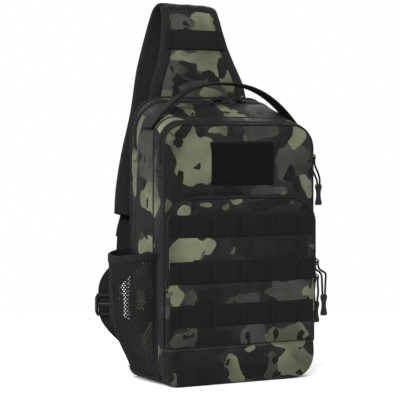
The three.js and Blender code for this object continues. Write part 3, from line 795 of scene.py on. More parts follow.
def settle(t):
    t = min(t, 1.0)
    return t * t * (3 - 2 * t)


def past(s, reach):
    return max(0.0, (s - STRAIGHT) / reach)


def pivot_of(f):
    return f["at"] + f["normal"] * (PLATE + CLEAR / 2)


def strand_middle(f, s):
    """Middle line of a pull's two strands, at a distance from its slider."""
    share = past(s, f["cord"] - STRAIGHT)
    sideways = share**2 if f["fans"] else settle(past(s, f["reach"]))
    return (pivot_of(f) + f["along"] * (f["turn"] * share**2 - s)
            + f["normal"] * f["out"] * settle(past(s, f["reach"])) + f["across"] * f["side"] * sideways)


def strand_side(f, s):
    angle = f["twist"] * settle(past(s, f["reach"]))
    return f["across"] * math.cos(angle) + f["normal"] * math.sin(angle)


def cord_points(f):
    """The doubled cord's route: up one strand, round the slider's bridge and down the other."""
    steps = 7

    def strand(sign):
        made = []
        for i in range(steps):
            share = (i + 1) / steps
            s = LOOP_RADIUS + share * (f["cord"] - LOOP_RADIUS)
            half = LOOP_RADIUS + (CORD_END - LOOP_RADIUS) * share
            made.append(strand_middle(f, s) + strand_side(f, s) * sign * half)
        return made

    turn = []
    for degrees in (-60, -30, 0, 30, 60):
        angle = math.radians(degrees)
        turn.append(strand_middle(f, LOOP_RADIUS) + f["along"] * LOOP_RADIUS * math.cos(angle)
                    + f["across"] * LOOP_RADIUS * math.sin(angle))
    return strand(-1)[::-1] + turn + strand(1)


def braid_rings(path, radius):
    """A round cord whose surface shows the crossing strands of its braid."""
    rings = tube_rings(path, radius, sides=12)
    along = lengths(path)
    angles = np.arange(12) * 2 * math.pi / 12
    twist = 2 * math.pi * along[:, None] / 5.2
    relief = np.abs(np.sin(2 * angles + twist)) + np.abs(np.sin(2 * angles - twist))
    centre = path[:, None]
    return centre + (rings - centre) * (0.90 + 0.10 * relief[..., None])


def make_cords():
    for name, f in SLIDERS.items():
        route = catmull(cord_points(f), 140)
        route = evenly(route, 0.6)
        piece = sweep(f"{name}_pull_cord", braid_rings(route, CORD_RADIUS), CORD)
        dress(piece, f"{name}_pull", "cord", f"{name}_cord")


make_cords()


# ---------------------------------------------------------------- the bag's outline
BOTTOM_STEPS, SIDE_STEPS, TOP_STEPS = 30, 78, 44
LOW_ARC_STEPS, HIGH_ARC_STEPS = 9, 15
RIGHT_SHOULDER = 26.0  # one radius along the whole depth, while the left shoulder's grows towards the back


def arc_points(cx, cz, radius, start, steps):
    angles = np.radians(start + 90 * np.arange(steps + 1) / steps)
    return np.stack([cx + radius * np.cos(angles), cz + radius * np.sin(angles)], axis=1)


def straight_points(a, b, steps):
    return a + (b - a) * (np.arange(1, steps) / steps)[:, None]


def outline(y, grow=0.0):
    """The bag's rounded outline at a depth, from the middle of the base round by the right, as X and Z."""
    half, low, high = half_at(y) + grow, FLOOR_Z - grow, top_at(y) + grow
    top, bottom = corner_at(y) + grow, CORNER_BOTTOM + grow
    right = RIGHT_SHOULDER + grow
    corners = [
        arc_points(half - bottom, low + bottom, bottom, -90, LOW_ARC_STEPS),
        arc_points(half - right, high - right, right, 0, HIGH_ARC_STEPS),
        arc_points(-half + top, high - top, top, 90, HIGH_ARC_STEPS),
        arc_points(-half + bottom, low + bottom, bottom, 180, LOW_ARC_STEPS),
    ]
    middle = np.array([[0.0, low]])
    return np.concatenate([
        middle, straight_points(middle[0], corners[0][0], BOTTOM_STEPS),
        corners[0], straight_points(corners[0][-1], corners[1][0], SIDE_STEPS),
        corners[1], straight_points(corners[1][-1], corners[2][0], TOP_STEPS),
        corners[2], straight_points(corners[2][-1], corners[3][0], SIDE_STEPS),
        corners[3], straight_points(corners[3][-1], middle[0], BOTTOM_STEPS)])


def at_depth(flat, y):
    """X and Z points set at a depth, which is one value or a value for each point."""
    return np.column_stack([flat[:, 0], np.broadcast_to(y, len(flat)), flat[:, 1]])


def ring_at(y, grow=0.0):
    return at_depth(outline(y, grow), y)


def arch_at(y, grow, end):
    """The part of the outline above a height, from the right end over the top to the left end."""
    ring = ring_at(y, grow)
    above = np.where(ring[:, 2] > end)[0]
    ends = [ring[above[0]].copy(), ring[above[-1]].copy()]
    ends[0][2] = ends[1][2] = end
    return np.concatenate([[ends[0]], ring[above], [ends[1]]])


def rounded_dip(distance, width):
    return np.exp(-((distance / width) ** 2))


# ---------------------------------------------------------------- stitches, zips and edges
def spread(values, path, where):
    """Values given along a path, read at other distances along it."""
    values = np.broadcast_to(np.asarray(values, float), path.shape)
    along = lengths(path)
    return np.stack([np.interp(where, along, values[:, k]) for k in range(3)], axis=1)


def stitches(path, out, length=3.0, gap=1.0, radius=0.36, lift=0.1):
    """Short threads along a path, half sunk in the cloth. out is the cloth's outward direction."""
    path = np.asarray(path, float)
    parts = []
    for k in range(int(lengths(path)[-1] // (length + gap))):
        where = k * (length + gap) + gap / 2 + length * np.array([0, 0.12, 0.5, 0.88, 1])
        height = np.array([-0.5, -0.1, 0.15, -0.1, -0.5]) * radius + lift
        points = at_lengths(path, where) + unit(spread(out, path, where)) * height[:, None]
        parts.append(tube_rings(points, radius * np.array([0.5, 1, 1, 1, 0.5]), 6))
    return parts


def coil_teeth(path, out, width=4.4, pitch=1.5, height=1.2):
    """The zip's closed chain: one raised loop after another across its width."""
    path = np.asarray(path, float)
    out = np.broadcast_to(np.asarray(out, float), path.shape)
    where = np.arange(pitch / 2, lengths(path)[-1], pitch)
    middle, away = at_lengths(path, where), unit(spread(out, path, where))
    across = unit(np.cross(spread(tangents(path), path, where), away))
    rise = [(-1.0, -0.1), (-0.92, 0.55), (-0.55, 0.95), (-0.12, 0.8)]
    profile = rise + [(-x, z) for x, z in rise[::-1]]
    parts = []
    for p, a, w in zip(middle, away, across):
        line = np.array([p + w * x * width / 2 + a * z * height for x, z in profile])
        parts.append(tube_rings(line, 0.52, 6, start=a))
    return parts



def out_of(path):
    """Directions away from the bag's middle line, square to a path that follows its outline at one depth."""
    t = tangents(path)
    out = unit(np.cross(t, [0.0, -1.0, 0.0]))
    middle = np.array([0.0, path[0][1], 150.0])
    return out * np.sign(((path - middle) * out).sum(axis=1))[:, None]


def zip_on(name, path):
    """A zip along the bag's outline: its tape and its coil."""
    path = evenly(path, 2.0)
    out = out_of(path)
    tape = sweep(f"{name}_tape", band_rings(path, Y_AXIS, 4.4, -0.2, 0.55), TAPE)
    dress(tape, "root", "zip_tape", name)
    dress(joined(f"{name}_coil", coil_teeth(path + out * 0.55, out), COIL), "root", "zip_tape")


def zip_end(name, side, place, zs, band, material, rows):
    """A tab over one end of a zip, with stitches across it at the given X and heights, along Y."""
    which = "left" if side < 0 else "right"
    x, y = place
    path = np.array([[side * x, y, z] for z in zs])
    tab = sweep(f"{name}_{which}", band_rings(path, -Y_AXIS * side, *band), material)
    dress(print_on(tab), "root", "camo_fabric")
    lines = []
    row_x, heights, ys = rows
    for z in heights:
        line = np.array([[side * row_x, y, z] for y in ys])
        lines += stitches(line, (side, 0, 0), length=2.2, gap=0.5)
    dress(joined(f"{name}_stitching_{which}", lines, OLIVE_THREAD), "root", "camo_fabric")


# ---------------------------------------------------------------- compartments
def gusset_grid(front, back, rows, crown, seam=(), power=0.8):
    """Rings from back seam to front seam. The cloth swells between seams and dips along sewn lines."""
    grid = []
    for y in np.linspace(back, front, rows):
        v = (y - front) / (back - front)
        dips = sum(depth * rounded_dip(y - at, width) for at, depth, width in seam)
        grid.append(ring_at(y, crown * (4 * v * (1 - v)) ** power - dips))
    return np.array(grid)


def ripple(obj, amount, scale, seed, hold=None):
    """Shallow creases in cloth, none where hold is 0."""

    def change(points, normals):
        height = bumps(points, scale, seed) * amount
        if hold is not None:
            height = height * hold(points)
        return normals * height[:, None]

    move(obj, change)


def away_from(planes, width):
    """A function of points: 0 on planes across the bag at these depths, and 1 further off than width."""
    return lambda p: np.min([smooth(np.abs(p[:, 1] - y) / width) for y in planes], axis=0)


def main_gusset():
    grid = gusset_grid(MAIN_FRONT - 0.7, BACK_Y - 1.0, 44, 1.6, seam=[(MAIN_ZIP_Y, 1.6, 5.0)])
    piece = skin("main_gusset_cloth", grid, CAMO["side"], wrap=True, thickness=1.6)
    sewn = [MAIN_FRONT, MAIN_ZIP_Y, BACK_Y]
    cloth_pass(piece, away_from(sewn, 7.0), 2.2, 3.0)
    ripple(piece, 0.55, 34, 1, away_from(sewn, 5.0))
    lift_above(piece, 1.8)
    dress(print_on(piece), "root", "camo_fabric", "main_gusset")


MIDDLE_FRONT = -48.6  # depth of the middle gusset's front seam


def middle_gusset():
    grid = gusset_grid(MIDDLE_FRONT, MIDDLE_BACK + 0.9, 26, 0.9, seam=[(MIDDLE_ZIP_Y, 1.2, 4.5)])
    piece = skin("middle_gusset_cloth", grid, CAMO["middle"], wrap=True, thickness=1.6)
    sewn = [MIDDLE_FRONT, MIDDLE_ZIP_Y, MIDDLE_BACK]
    cloth_pass(piece, away_from(sewn, 6.0), 2.0, 2.0)
    ripple(piece, 0.4, 30, 2, away_from(sewn, 4.0))
    dress(print_on(piece), "root", "camo_fabric", "middle_gusset")


def inward_rings(edge, centre, count, depth_at):
    """Rings that shrink from an edge to a point. depth_at gives their depth from X and Z."""
    rings = []
    for k in range(1, count + 1):
        size = (1 - k / count) ** 0.9 if k < count else 0.004
        ring = centre + (edge - centre) * size
        ring[:, 1] = depth_at(ring[:, 0], ring[:, 2])
        rings.append(ring)
    return rings


def flat_uvs(obj):
    """Texture places straight from X and Z, for a cloth that faces forward or back."""
    mesh = obj.data
    corner = np.zeros(len(mesh.loops), np.int32)
    mesh.loops.foreach_get("vertex_index", corner)
    places = points_of(mesh)[corner][:, [0, 2]]
    mesh.uv_layers[0].data.foreach_set("uv", places.astype(np.float32).ravel())


PANEL_CROWN = 1.9
PANEL_Y = -50.4  # depth of the front panel's rim
FIELD_X, FIELD_Z, FIELD_HALF_X, FIELD_HALF_Z = 11, 249, 42, 27  # the loop field's middle and half sizes


def panel_y(x, z):
    """Depth of the front panel's cloth: crowned above the front pocket, flat behind it."""
    x, z = np.asarray(x, float), np.asarray(z, float)
    across = np.clip(1 - (x / 88) ** 2, 0, 1)
    up = np.clip(1 - ((z - 246) / 52) ** 2, 0, 1)
    return FRONT_PANEL_Y - 0.4 - PANEL_CROWN * (across * up) ** 0.7


def front_panel():
    rings = [ring_at(-46.4, 0.9), ring_at(-48.2, 1.1), ring_at(-49.6, 0.3), ring_at(-50.3, -1.6)]
    rings += inward_rings(ring_at(PANEL_Y, -3.4), np.array([0, PANEL_Y, 170.0]), 34, panel_y)
    piece = skin("front_panel_cloth", np.array(rings), CAMO["front"], wrap=True, thickness=1.4)
    flat_uvs(piece)

    def free(p):
        edge_x = smooth((half_at(-50) - 6 - np.abs(p[:, 0])) / 14)
        edge_z = smooth((top_at(-50) - 8 - p[:, 2]) / 14) * smooth((p[:, 2] - 196) / 20)
        past_x, past_z = np.abs(p[:, 0] - FIELD_X) - FIELD_HALF_X, np.abs(p[:, 2] - FIELD_Z) - FIELD_HALF_Z
        return edge_x * edge_z * smooth(np.maximum(past_x, past_z) / 8)

    cloth_pass(piece, free, 2.4, 2.2)
    ripple(piece, 0.5, 36, 3, free)
    dress(print_on(piece), "root", "camo_fabric", "middle_front_panel")


def back_panel():
    edge = ring_at(BACK_Y, -0.4)
    rings = [ring_at(BACK_Y - 2.5, 0.2), edge]
    rings += inward_rings(edge, np.array([0, BACK_Y, 165.0]), 26, lambda x, z: BACK_Y + 0.1)
    piece = skin("back_panel_cloth", np.array(rings)[:, ::-1], LINING, wrap=True, thickness=1.2)
    flat_uvs(piece)
    ripple(piece, 0.3, 40, 4, lambda p: smooth((88 - np.abs(p[:, 0])) / 20))
    dress(piece, "root", "lining", "back_panel")


PAD_CHANNELS = (96.0, 164.0, 232.0)  # heights of the back pad's sewn channels
PAD_CORNER, PAD_PUFF = 26.0, 4.2


def pad_outline(low, high, half):
    """The back pad's rounded outline from the middle of one side round the top and back, as X and Z."""
    angles = np.linspace(0, math.pi / 2, 9)
    x, z = half - PAD_CORNER, high - PAD_CORNER
    right = [(x + PAD_CORNER * math.cos(a), z + PAD_CORNER * math.sin(a)) for a in angles]
    upper = right + [(-x, z) for x, z in right[::-1]]
    lower = [(-x, low + high - z) for x, z in upper]
    return [(half, 165), *upper, (-half, 165), *lower, (half, 164)]


def back_pad():
    """The padded mesh back: three-chamber foam that swells between its sewn channels."""
    low, high = span("back_pad")
    half = high[0] - 0.5
    rows, columns = 120, 72
    grid = []
    for z in np.linspace(low[2] + 0.5, high[2] - 0.5, rows):
        near = min(z - low[2], high[2] - z)
        inset = PAD_CORNER - math.sqrt(max(PAD_CORNER**2 - max(PAD_CORNER - near, 0) ** 2, 0))
        x = np.linspace(-1, 1, columns) * (half - inset)
        rim = np.minimum((half - inset) - np.abs(x), near)
        puff = PAD_PUFF * (1 - np.exp(-np.maximum(rim, 0) / 5.0))
        for channel in PAD_CHANNELS:
            puff = puff * (1 - 0.62 * rounded_dip(z - channel, 4.5))
        grid.append(np.stack([x, low[1] + 0.2 + puff, np.full(columns, z)], axis=1))
    piece = skin("back_pad_mesh", np.array(grid)[:, ::-1], AIR_MESH, thickness=2.0)

    def free(p):
        channel = np.min([smooth(np.abs(p[:, 2] - c) / 14) for c in PAD_CHANNELS], axis=0)
        sides = smooth((half - 6 - np.abs(p[:, 0])) / 12)
        return channel * sides * smooth((p[:, 2] - low[2] - 6) / 12) * smooth((high[2] - 6 - p[:, 2]) / 12)

    cloth_pass(piece, free, 3.0, 2.5)
    ripple(piece, 0.35, 30, 5, free)
    dress(piece, "root", "air_mesh", "back_pad")
    lines = []
    for channel in PAD_CHANNELS:
        path = np.array([[x, low[1] + 2.0, channel] for x in np.linspace(-half + 4, half - 4, 40)])
        lines += stitches(path, (0, 1, 0))
    dress(joined("back_pad_stitching", lines, THREAD), "root", "air_mesh")
    path = np.array([[x, low[1] + 1.2, z] for x, z in pad_outline(low[2], high[2], half)])
    dress(piping("back_pad_binding", path, 1.9, BINDING), "root", "webbing")


# ---------------------------------------------------------------- base
BOOT_TOP, BOOT_CORNER, BOOT_ROUND = 43.8, 7.0, 4.8
SIDE_TOP, OVER_FLOOR = 12, 0.1  # the base panel's height along the sides, and its clearance from the floor
SIDE_ROUND, SIDE_TUCK = 34.0, 0.26  # height of the base's rounding, and share of the half width it takes
LEFT_TUCK = 0.4 * SIDE_TUCK


def plan_ring(inset):
    """The base's outline from above, from the back left corner round by the front to the back right."""
    half, front, back = 95.6 - inset, POCKET_Y - 0.9 + inset, BACK_Y - 0.5 - 0.4 * inset
    radius = BOOT_CORNER + 0.5 * inset
    side, corner, face = 26, 8, 60
    left = np.stack([np.full(side, -half), np.linspace(back, front + radius, side, endpoint=False)], axis=1)
    angles = np.radians(180 + 90 * np.arange(corner + 1) / corner)
    bend = [-half + radius + radius * np.cos(angles), front + radius + radius * np.sin(angles)]
    bend = np.column_stack(bend)
    across = np.linspace(-half + radius, half - radius, face)[1:-1]
    middle = np.stack([across, np.full(len(across), front)], axis=1)
    mirrored = np.concatenate([left, bend])[::-1] * [-1, 1]
    return np.concatenate([left, bend, middle, mirrored])


def boot_top(y):
    """Height of the base panel's seam: high across the front, low along the sides."""
    return SIDE_TOP + (BOOT_TOP - SIDE_TOP) * smooth((-16 - y) / 26)


def tucked(level, z):
    """The level's points drawn in towards the middle near the floor, where the base's corners round off."""
    depth = np.clip((SIDE_ROUND - z) / SIDE_ROUND, 0, 1)
    tuck = np.where(level[:, 0] > 0, SIDE_TUCK, LEFT_TUCK)
    return level * np.column_stack([1 - tuck * (1 - np.sqrt(1 - depth**2 * 0.99)), np.ones(len(level))])


def boot():
    """The panel that wraps the front's foot, rounds under and makes the base, and its sewn top edge."""
    plan = plan_ring(0)
    tops = boot_top(plan[:, 1])
    grid = []
    for share in np.linspace(0, 1, 14):
        z = tops + (BOOT_ROUND - tops) * share
        bulge = 0.7 * math.sin(math.pi * share)
        level = plan * [1 + bulge / 95, 1 + bulge / 60]
        grid.append(np.column_stack([tucked(level, z), z]))
    for angle in np.radians(np.linspace(9, 90, 9)):
        level = plan_ring(BOOT_ROUND * (1 - math.cos(angle)))
        low = np.minimum(tops, BOOT_ROUND)
        z = low * (1 - math.sin(angle)) + OVER_FLOOR
        grid.append(np.column_stack([tucked(level, z), z]))
    inner = plan_ring(BOOT_ROUND)
    for share in (0.25, 0.5, 0.75, 0.97):
        z = np.full(len(inner), OVER_FLOOR)
        grid.append(np.column_stack([tucked(inner * [1 - share, 1 - 0.3 * share], z), z]))
    piece = skin("base_cloth", np.array(grid)[:, ::-1], CAMO["boot"], thickness=1.4)

    def free(p):
        face = smooth((p[:, 2] - 3) / 8) * smooth((BOOT_TOP - 2 - p[:, 2]) / 8)
        return face * smooth((-50 - p[:, 1]) / 4)

    cloth_pass(piece, free, 2.4, 2.2)
    ripple(piece, 0.7, 30, 6, lambda p: free(p) * 0.9 + 0.1)
    lift_above(piece, OVER_FLOOR)
    dress(print_on(piece), "root", "camo_fabric", "bottom_panel")
    shown, level = plan[20:-20], 0 * tops[20:-20]
    line = np.column_stack([shown, tops[20:-20] - 1.9]) + unit(np.column_stack([shown, level])) * 0.4
    lines = stitches(line, unit(np.column_stack([shown * [0.35, 1], level])))
    dress(joined("base_stitching", lines, OLIVE_THREAD), "root", "camo_fabric")
    seam = np.column_stack([plan * [1.001, 1.002], tops + 0.2])
    dress(piping("base_seam", seam, 0.6, ROLLED), "root", "lining")


# ---------------------------------------------------------------- front pocket
ROWS = {n: (span(n)[0][2], span(n)[1][2]) for n in ("molle_row_1", "molle_row_2", "molle_row_3")}
FLAP_BACK = -54.3  # depth where the flap's side wall ends, above the fold
POCKET_ZIP_LOW = 117.0


def pocket_ring(inset, low=None):
    """The front pocket's outline, from the middle of its foot round by the right, as X and Z."""
    low = POCKET_LOW + inset if low is None else low
    half, top = POCKET_HALF - inset, POCKET_TOP - inset
    rx, rz = SHOULDER_X - inset, SHOULDER_Z - inset
    angles = np.radians(np.linspace(0, 90, 17))
    bend = np.stack([half - rx + rx * np.cos(angles), top - rz + rz * np.sin(angles)], axis=1)
    foot = np.stack([np.linspace(0, half, 24, endpoint=False), np.full(24, low)], axis=1)
    side = np.stack([np.full(44, half), np.linspace(low, top - rz, 44, endpoint=False)], axis=1)
    crest = np.stack([np.linspace(half - rx, 0, 14)[1:], np.full(13, top)], axis=1)
    right = np.concatenate([foot, side, bend, crest])
    return np.concatenate([right, (right * [-1, 1])[-2:0:-1]])


def under_rows(z, margin, ease):
    """1 at heights where a webbing row holds the pocket's cloth, and 0 away from them."""
    return sum(smooth((z - low + margin) / ease) * smooth((high + margin - z) / ease)
               for low, high in ROWS.values())


def pocket_y(x, z):
    """Depth of the pocket's face: it swells a little between the webbing rows and the edges."""
    x, z = np.asarray(x, float), np.asarray(z, float)
    across = np.clip(1 - (x / 97) ** 4, 0, 1)
    held = under_rows(z, 5, 6)
    up = smooth((z - POCKET_LOW) / 12) * smooth((POCKET_TOP - z) / 16)
    return POCKET_Y - 1.1 * across * up * (1 - np.clip(held, 0, 1))


def pocket_face():
    """The pocket's cloth in one piece."""
    rings = []
    rim = ((0.2, -51.0), (0.0, -53.0), (0.3, -55.4), (1.2, -56.6), (3.0, POCKET_Y))
    for k, (inset, y) in enumerate(rim):
        flat = pocket_ring(inset, POCKET_LOW - 2.4 + 0.9 * k)
        foot = smooth((POCKET_LOW + 6 - flat[:, 1]) / 5) * smooth((POCKET_HALF - 2 - np.abs(flat[:, 0])) / 5)
        depth = y + (POCKET_Y - y) * foot
        if y > FLAP_BACK:
            depth = np.where(flat[:, 1] > HINGE_Z + 3, FLAP_BACK, depth)
        rings.append(at_depth(flat, depth))
    rings += inward_rings(rings[-1], np.array([0, POCKET_Y, 126.0]), 46, pocket_y)
    grid = np.array(rings)
    piece = skin("front_pocket_cloth", grid, CAMO["pocket"], wrap=True, thickness=1.3, inside=LINING)
    flat_uvs(piece)

    def free(p):
        held = under_rows(p[:, 2], 3, 5)
        edge = smooth((POCKET_HALF - 4 - np.abs(p[:, 0])) / 12) * smooth((POCKET_TOP - 6 - p[:, 2]) / 12)
        return edge * smooth((p[:, 2] - POCKET_LOW - 3) / 10) * (1 - np.clip(held, 0, 1)) * (p[:, 1] < -55)

    cloth_pass(piece, free, 2.4, 1.6)
    ripple(piece, 0.4, 28, 7, free)
    print_on(piece)
    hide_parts("front_pocket_base", "front_pocket_flap")
    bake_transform(piece)


def arch(inset, low):
    """The pocket's arch above a height, from the right over the top to the left, as X and Z."""
    ring = pocket_ring(inset)
    flat = ring[ring[:, 1] > low]
    return np.concatenate([[[flat[0][0], low]], flat, [[flat[-1][0], low]]])


def pocket_zip():
    """The pocket's zip: rolled edges on bag and flap, the tape and coil between them, and the end tabs."""
    low = POCKET_ZIP_LOW
    for name, inset, y, radius, body in (
        ("front_pocket_welt", -0.6, -50.9, 1.7, "root"),
        ("front_pocket_flap_edge", 0.7, -56.3, 1.5, "pocket_flap"),
    ):
        dress(piping(name, at_depth(arch(inset, low), y), radius, ROLLED), body, "lining")
    path = evenly(at_depth(arch(0.9, low), POCKET_ZIP_Y - 2.1), 2.0)
    out = out_of(path)
    tape = sweep("front_pocket_zip_tape", band_rings(path + [0, 1.2, 0], Y_AXIS, 1.7, -0.25, 0.25), TAPE)
    dress(tape, "root", "zip_tape", "front_pocket_zip")
    teeth = coil_teeth(path + out * 0.5, out, width=3.4, height=0.9)
    dress(joined("front_pocket_coil", teeth, COIL), "root", "zip_tape")
    rows = (POCKET_HALF + 1.3, (low - 2.4, low - 0.4), np.linspace(-56.2, -51.0, 6))
    for side in (-1, 1):
        zip_end("pocket_zip_end", side, (POCKET_HALF + 0.5, -53.6), np.linspace(low - 9, low + 3, 8),
                (2.9, -0.3, 0.9), CAMO["side"], rows)


ROW_PITCH, ROW_COUNT = 38.0, 4  # width and number of a webbing row's free loops


def molle_row(name, body):
    """One row of webbing, sewn down at even steps, with a bar of stitches at each step."""
    low, high = ROWS[name]
    xs = np.linspace(-POCKET_HALF + 0.6, POCKET_HALF - 0.6, 160)
    reach = ROW_PITCH * ROW_COUNT / 2
    held = np.abs(np.sin(math.pi * (xs + reach) / ROW_PITCH)) ** 0.6 * (np.abs(xs) < reach)
    z = (low + high) / 2
    lift = pocket_y(xs, np.full(len(xs), z)) - 0.3 - 0.25 * held
    ends = 1.6 * smooth((np.abs(xs) - (POCKET_HALF - 4)) / 3.5)
    path = np.column_stack([xs, lift + ends, np.full(len(xs), z)])
    half = (high - low) / 2
    piece = sweep(f"{name}_webbing", band_rings(path, Z_AXIS, half, 0.0, 1.7), WEBBING)
    dress(piece, body, "webbing", name)
    lines = []
    for k in range(ROW_COUNT + 1):
        x = (k - ROW_COUNT / 2) * ROW_PITCH
        for dx in (-0.8, 0.8):
            line = np.array([[x + dx, POCKET_Y - 2.15, zz] for zz in np.linspace(low + 1.5, high - 1.5, 8)])
            lines += stitches(line, (0, -1, 0), length=1.9, gap=0.3, radius=0.42, lift=0.12)
    dress(joined(f"{name}_stitching", lines, THREAD), body, "webbing")


def pocket_inside():
    """Lining behind the front pocket, seen when the pocket is open."""
    flat = pocket_ring(3.0)
    ring = at_depth(flat, FRONT_PANEL_Y - 0.75)
    piece = build("front_pocket_lining", ring, [list(range(len(ring)))], LINING, flat * MM, flat=True)
    shell = piece.modifiers.new("Thickness", "SOLIDIFY")
    shell.thickness, shell.offset = 0.4 * MM, -1
    dress(piece, "root", "lining")


def sewn_lines(box, pairs, y, out, count, **thread):
    """Stitches between pairs of a box's corners. y is one depth, or a function that gives it."""
    lines = []
    for a, b in pairs:
        (xa, za), (xb, zb) = box[a], box[b]
        xs, zs = np.linspace(xa, xb, count), np.linspace(za, zb, count)
        depth = y(xs, zs) if callable(y) else np.full(count, y)
        lines += stitches(np.column_stack([xs, depth, zs]), out, **thread)
    return lines


BOX_SIDES = [(0, 1), (1, 2), (2, 3), (3, 0)]


def rectangle(low, high, inset):
    """Corners of a node's front, drawn in by a margin, as X and Z."""
    left, right, foot, top = low[0] + inset, high[0] - inset, low[2] + inset, high[2] - inset
    return [(left, foot), (right, foot), (right, top), (left, top)]


def pile_fuzz(x, z):
    """Uneven height of the loop pile."""
    broad = noise.noise(Vector((x * 0.9, 0, z * 0.9)))
    return broad * 0.30 + noise.noise(Vector((x * 2.3, 5, z * 2.3))) * 0.24


def loop_patch():
    """The loop field: a fuzzy field inside a flattened, sewn border."""
    low, high = span("loop_patch")
    xs, zs = np.linspace(low[0], high[0], 110), np.linspace(low[2], high[2], 72)
    grid = []
    for z in zs:
        rim = np.minimum(np.minimum(xs - low[0], high[0] - xs), min(z - low[2], high[2] - z))
        rise = 0.5 + 1.0 * smooth((rim - 1.6) / 1.6)
        fuzz = np.array([pile_fuzz(x, z) for x in xs]) * smooth((rim - 2.2) / 1.5)
        edge = np.where(rim < 0.01, -0.6, 0.0)
        level = np.full(len(xs), z)
        grid.append(np.column_stack([xs, panel_y(xs, level) - rise - fuzz - edge, level]))
    piece = skin("loop_field_pile", np.array(grid), PILE, thickness=0.8)
    dress(piece, "root", "loop_fabric", "loop_patch")
    border = rectangle(low, high, 1.6)
    lines = sewn_lines(border, BOX_SIDES, lambda x, z: panel_y(x, z) - 0.55, (0, -1, 0), 30, length=2.6)
    dress(joined("loop_field_stitching", lines, THREAD), "root", "loop_fabric")


# ---------------------------------------------------------------- body zips and seams
def body_zips():
    """The two compartments' zips, each between two folds of cloth, with a tab over each end."""
    for name, y, end, roll in (
        ("main_zip", MAIN_ZIP_Y, 265.0, 1.5),
        ("middle_zip", MIDDLE_ZIP_Y, 247.0, 1.8),
    ):
        zip_on(name, arch_at(y, 0.3, end))
        for side, offset in (("back", 4.6), ("front", -4.6)):
            path = arch_at(y + offset, 0.35, end - 2)
            dress(piping(f"{name}_fold_{side}", path, roll, ROLLED), "root", "lining")
        half = half_at(y) + 1.0
        rows = (half + 1.15, (end - 3.0, end - 0.6), np.linspace(y - 4.4, y + 4.4, 8))
        for side in (-1, 1):
            zip_end(f"{name}_end", side, (half, y), np.linspace(end - 13, end + 2.5, 8),
                    (5.2, -0.4, 1.0), CAMO["front"], rows)


def closed_path(ring):
    return np.concatenate([ring, ring[:1]])


def seams():
    """Rolled edges between the compartments, round the back and round the front above the base."""
    ring = ring_at((MAIN_FRONT + MIDDLE_BACK) / 2)
    dress(piping("compartment_seam", closed_path(ring), 1.2, ROLLED), "root", "lining")
    dress(piping("back_seam", closed_path(ring_at(BACK_Y - 0.4, 0.5)), 1.7, ROLLED), "root", "lining")
    ring = ring_at(-49.0, 1.0)
    dress(piping("front_seam", ring[ring[:, 2] > BOOT_TOP + 0.2], 1.5, ROLLED), "root", "lining")


# ---------------------------------------------------------------- sliders and grips
# Half of the bridge's arch, and the plates' outline: place along the slider, then height or width.
BRIDGE = [(-3.4, PLATE - 0.5), (-3.3, 3.6), (-2.9, 5.4), (-2.0, 6.5), (-0.8, 6.95)]
PLATE_WIDTHS = (0.62, 0.74, 0.80, 0.92, 1.0, 0.82, 0.62)


def slider_parts(f):
    """A zip slider's rings: lower wings, tapered top plate and the bridge that holds the cord."""

    def ring(s, section):
        return section_ring(f["at"] + f["along"] * s, f["across"], f["normal"], section)

    parts = []
    for low, high, half, nose in ((0.0, 0.9, 4.5, 6.0), (1.25, PLATE, 3.9, 5.6)):
        places = (-nose, -nose + 0.7, -1.5, 1.5, nose - 2.2, nose - 0.6, nose)
        parts.append(np.array([ring(s, band_section(half * width, low, high, 0.4))
                               for s, width in zip(places, PLATE_WIDTHS)]))
    parts.append(np.array([ring(s, band_section(1.0, 0.7, 1.6, 0.3)) for s in (2.0, 5.0)]))
    bridge = BRIDGE + [(-s, h) for s, h in BRIDGE[::-1]]
    path = catmull([f["at"] + f["along"] * s + f["normal"] * h for s, h in bridge], 36)
    parts.append(band_rings(path, f["across"], 1.25, -0.55, 0.55, cross=2))
    return parts


# The grip's outline: distance from its cord end, and share of its full width.
GRIP_OUTLINE = [(0, 0.55), (0.5, 0.78), (2.2, 0.98), (4.0, 1.0), (6.5, 0.84), (9, 0.64), (12.5, 0.60),
                (16, 0.64), (19, 0.82), (22, 1.0), (23.6, 1.0), (24.6, 0.86), (25, 0.62)]


def squared(wave):
    """A sine or cosine flattened so that a round section turns into a rounded rectangle."""
    return np.sign(wave) * np.abs(wave) ** 0.55


def grip_rings(f):
    """The moulded grip: wide ends, a narrow ribbed waist and a rounded rectangular section."""
    end = strand_middle(f, f["cord"])
    away = unit(end - strand_middle(f, f["cord"] - 2))
    side = strand_side(f, f["cord"])
    wide = unit(side - away * np.dot(side, away))
    thick = np.cross(away, wide)
    ends, waist = (np.linspace(0, 1.6, 5), np.linspace(23.4, 25, 6)), np.linspace(2.2, 22.8, 60)
    s_values = np.concatenate([ends[0], waist, ends[1]])
    angles = np.arange(20) * 2 * math.pi / 20
    rings = []
    for s in s_values:
        share = np.interp(s, *zip(*GRIP_OUTLINE))
        rib = 0.16 * max(0.0, math.sin(2 * math.pi * (s - 7.5) / 2.0)) if 7.5 < s < 17.5 else 0.0
        half_w = GRIP_WIDTH / 2 * share + rib
        rounding = min(1, 0.6 + s, 0.6 + (GRIP_LENGTH - s))
        half_t = GRIP_THICKNESS / 2 * (0.72 + 0.28 * share) * rounding + rib * 0.8
        w, t = half_w * squared(np.cos(angles)), half_t * squared(np.sin(angles))
        rings.append(end + away * (s + GRIP_START) + w[:, None] * wide + t[:, None] * thick)
    return np.array(rings)


def sliders():
    for name, f in SLIDERS.items():
        body = f"{name}_slider"
        dress(joined(f"{body}_metal", slider_parts(f), METAL), body, "zip_metal", body)
        grip = sweep(f"{name}_pull_grip", grip_rings(f), GRIP)
        dress(grip, f"{name}_pull", "grip_plastic", f"{name}_grip")


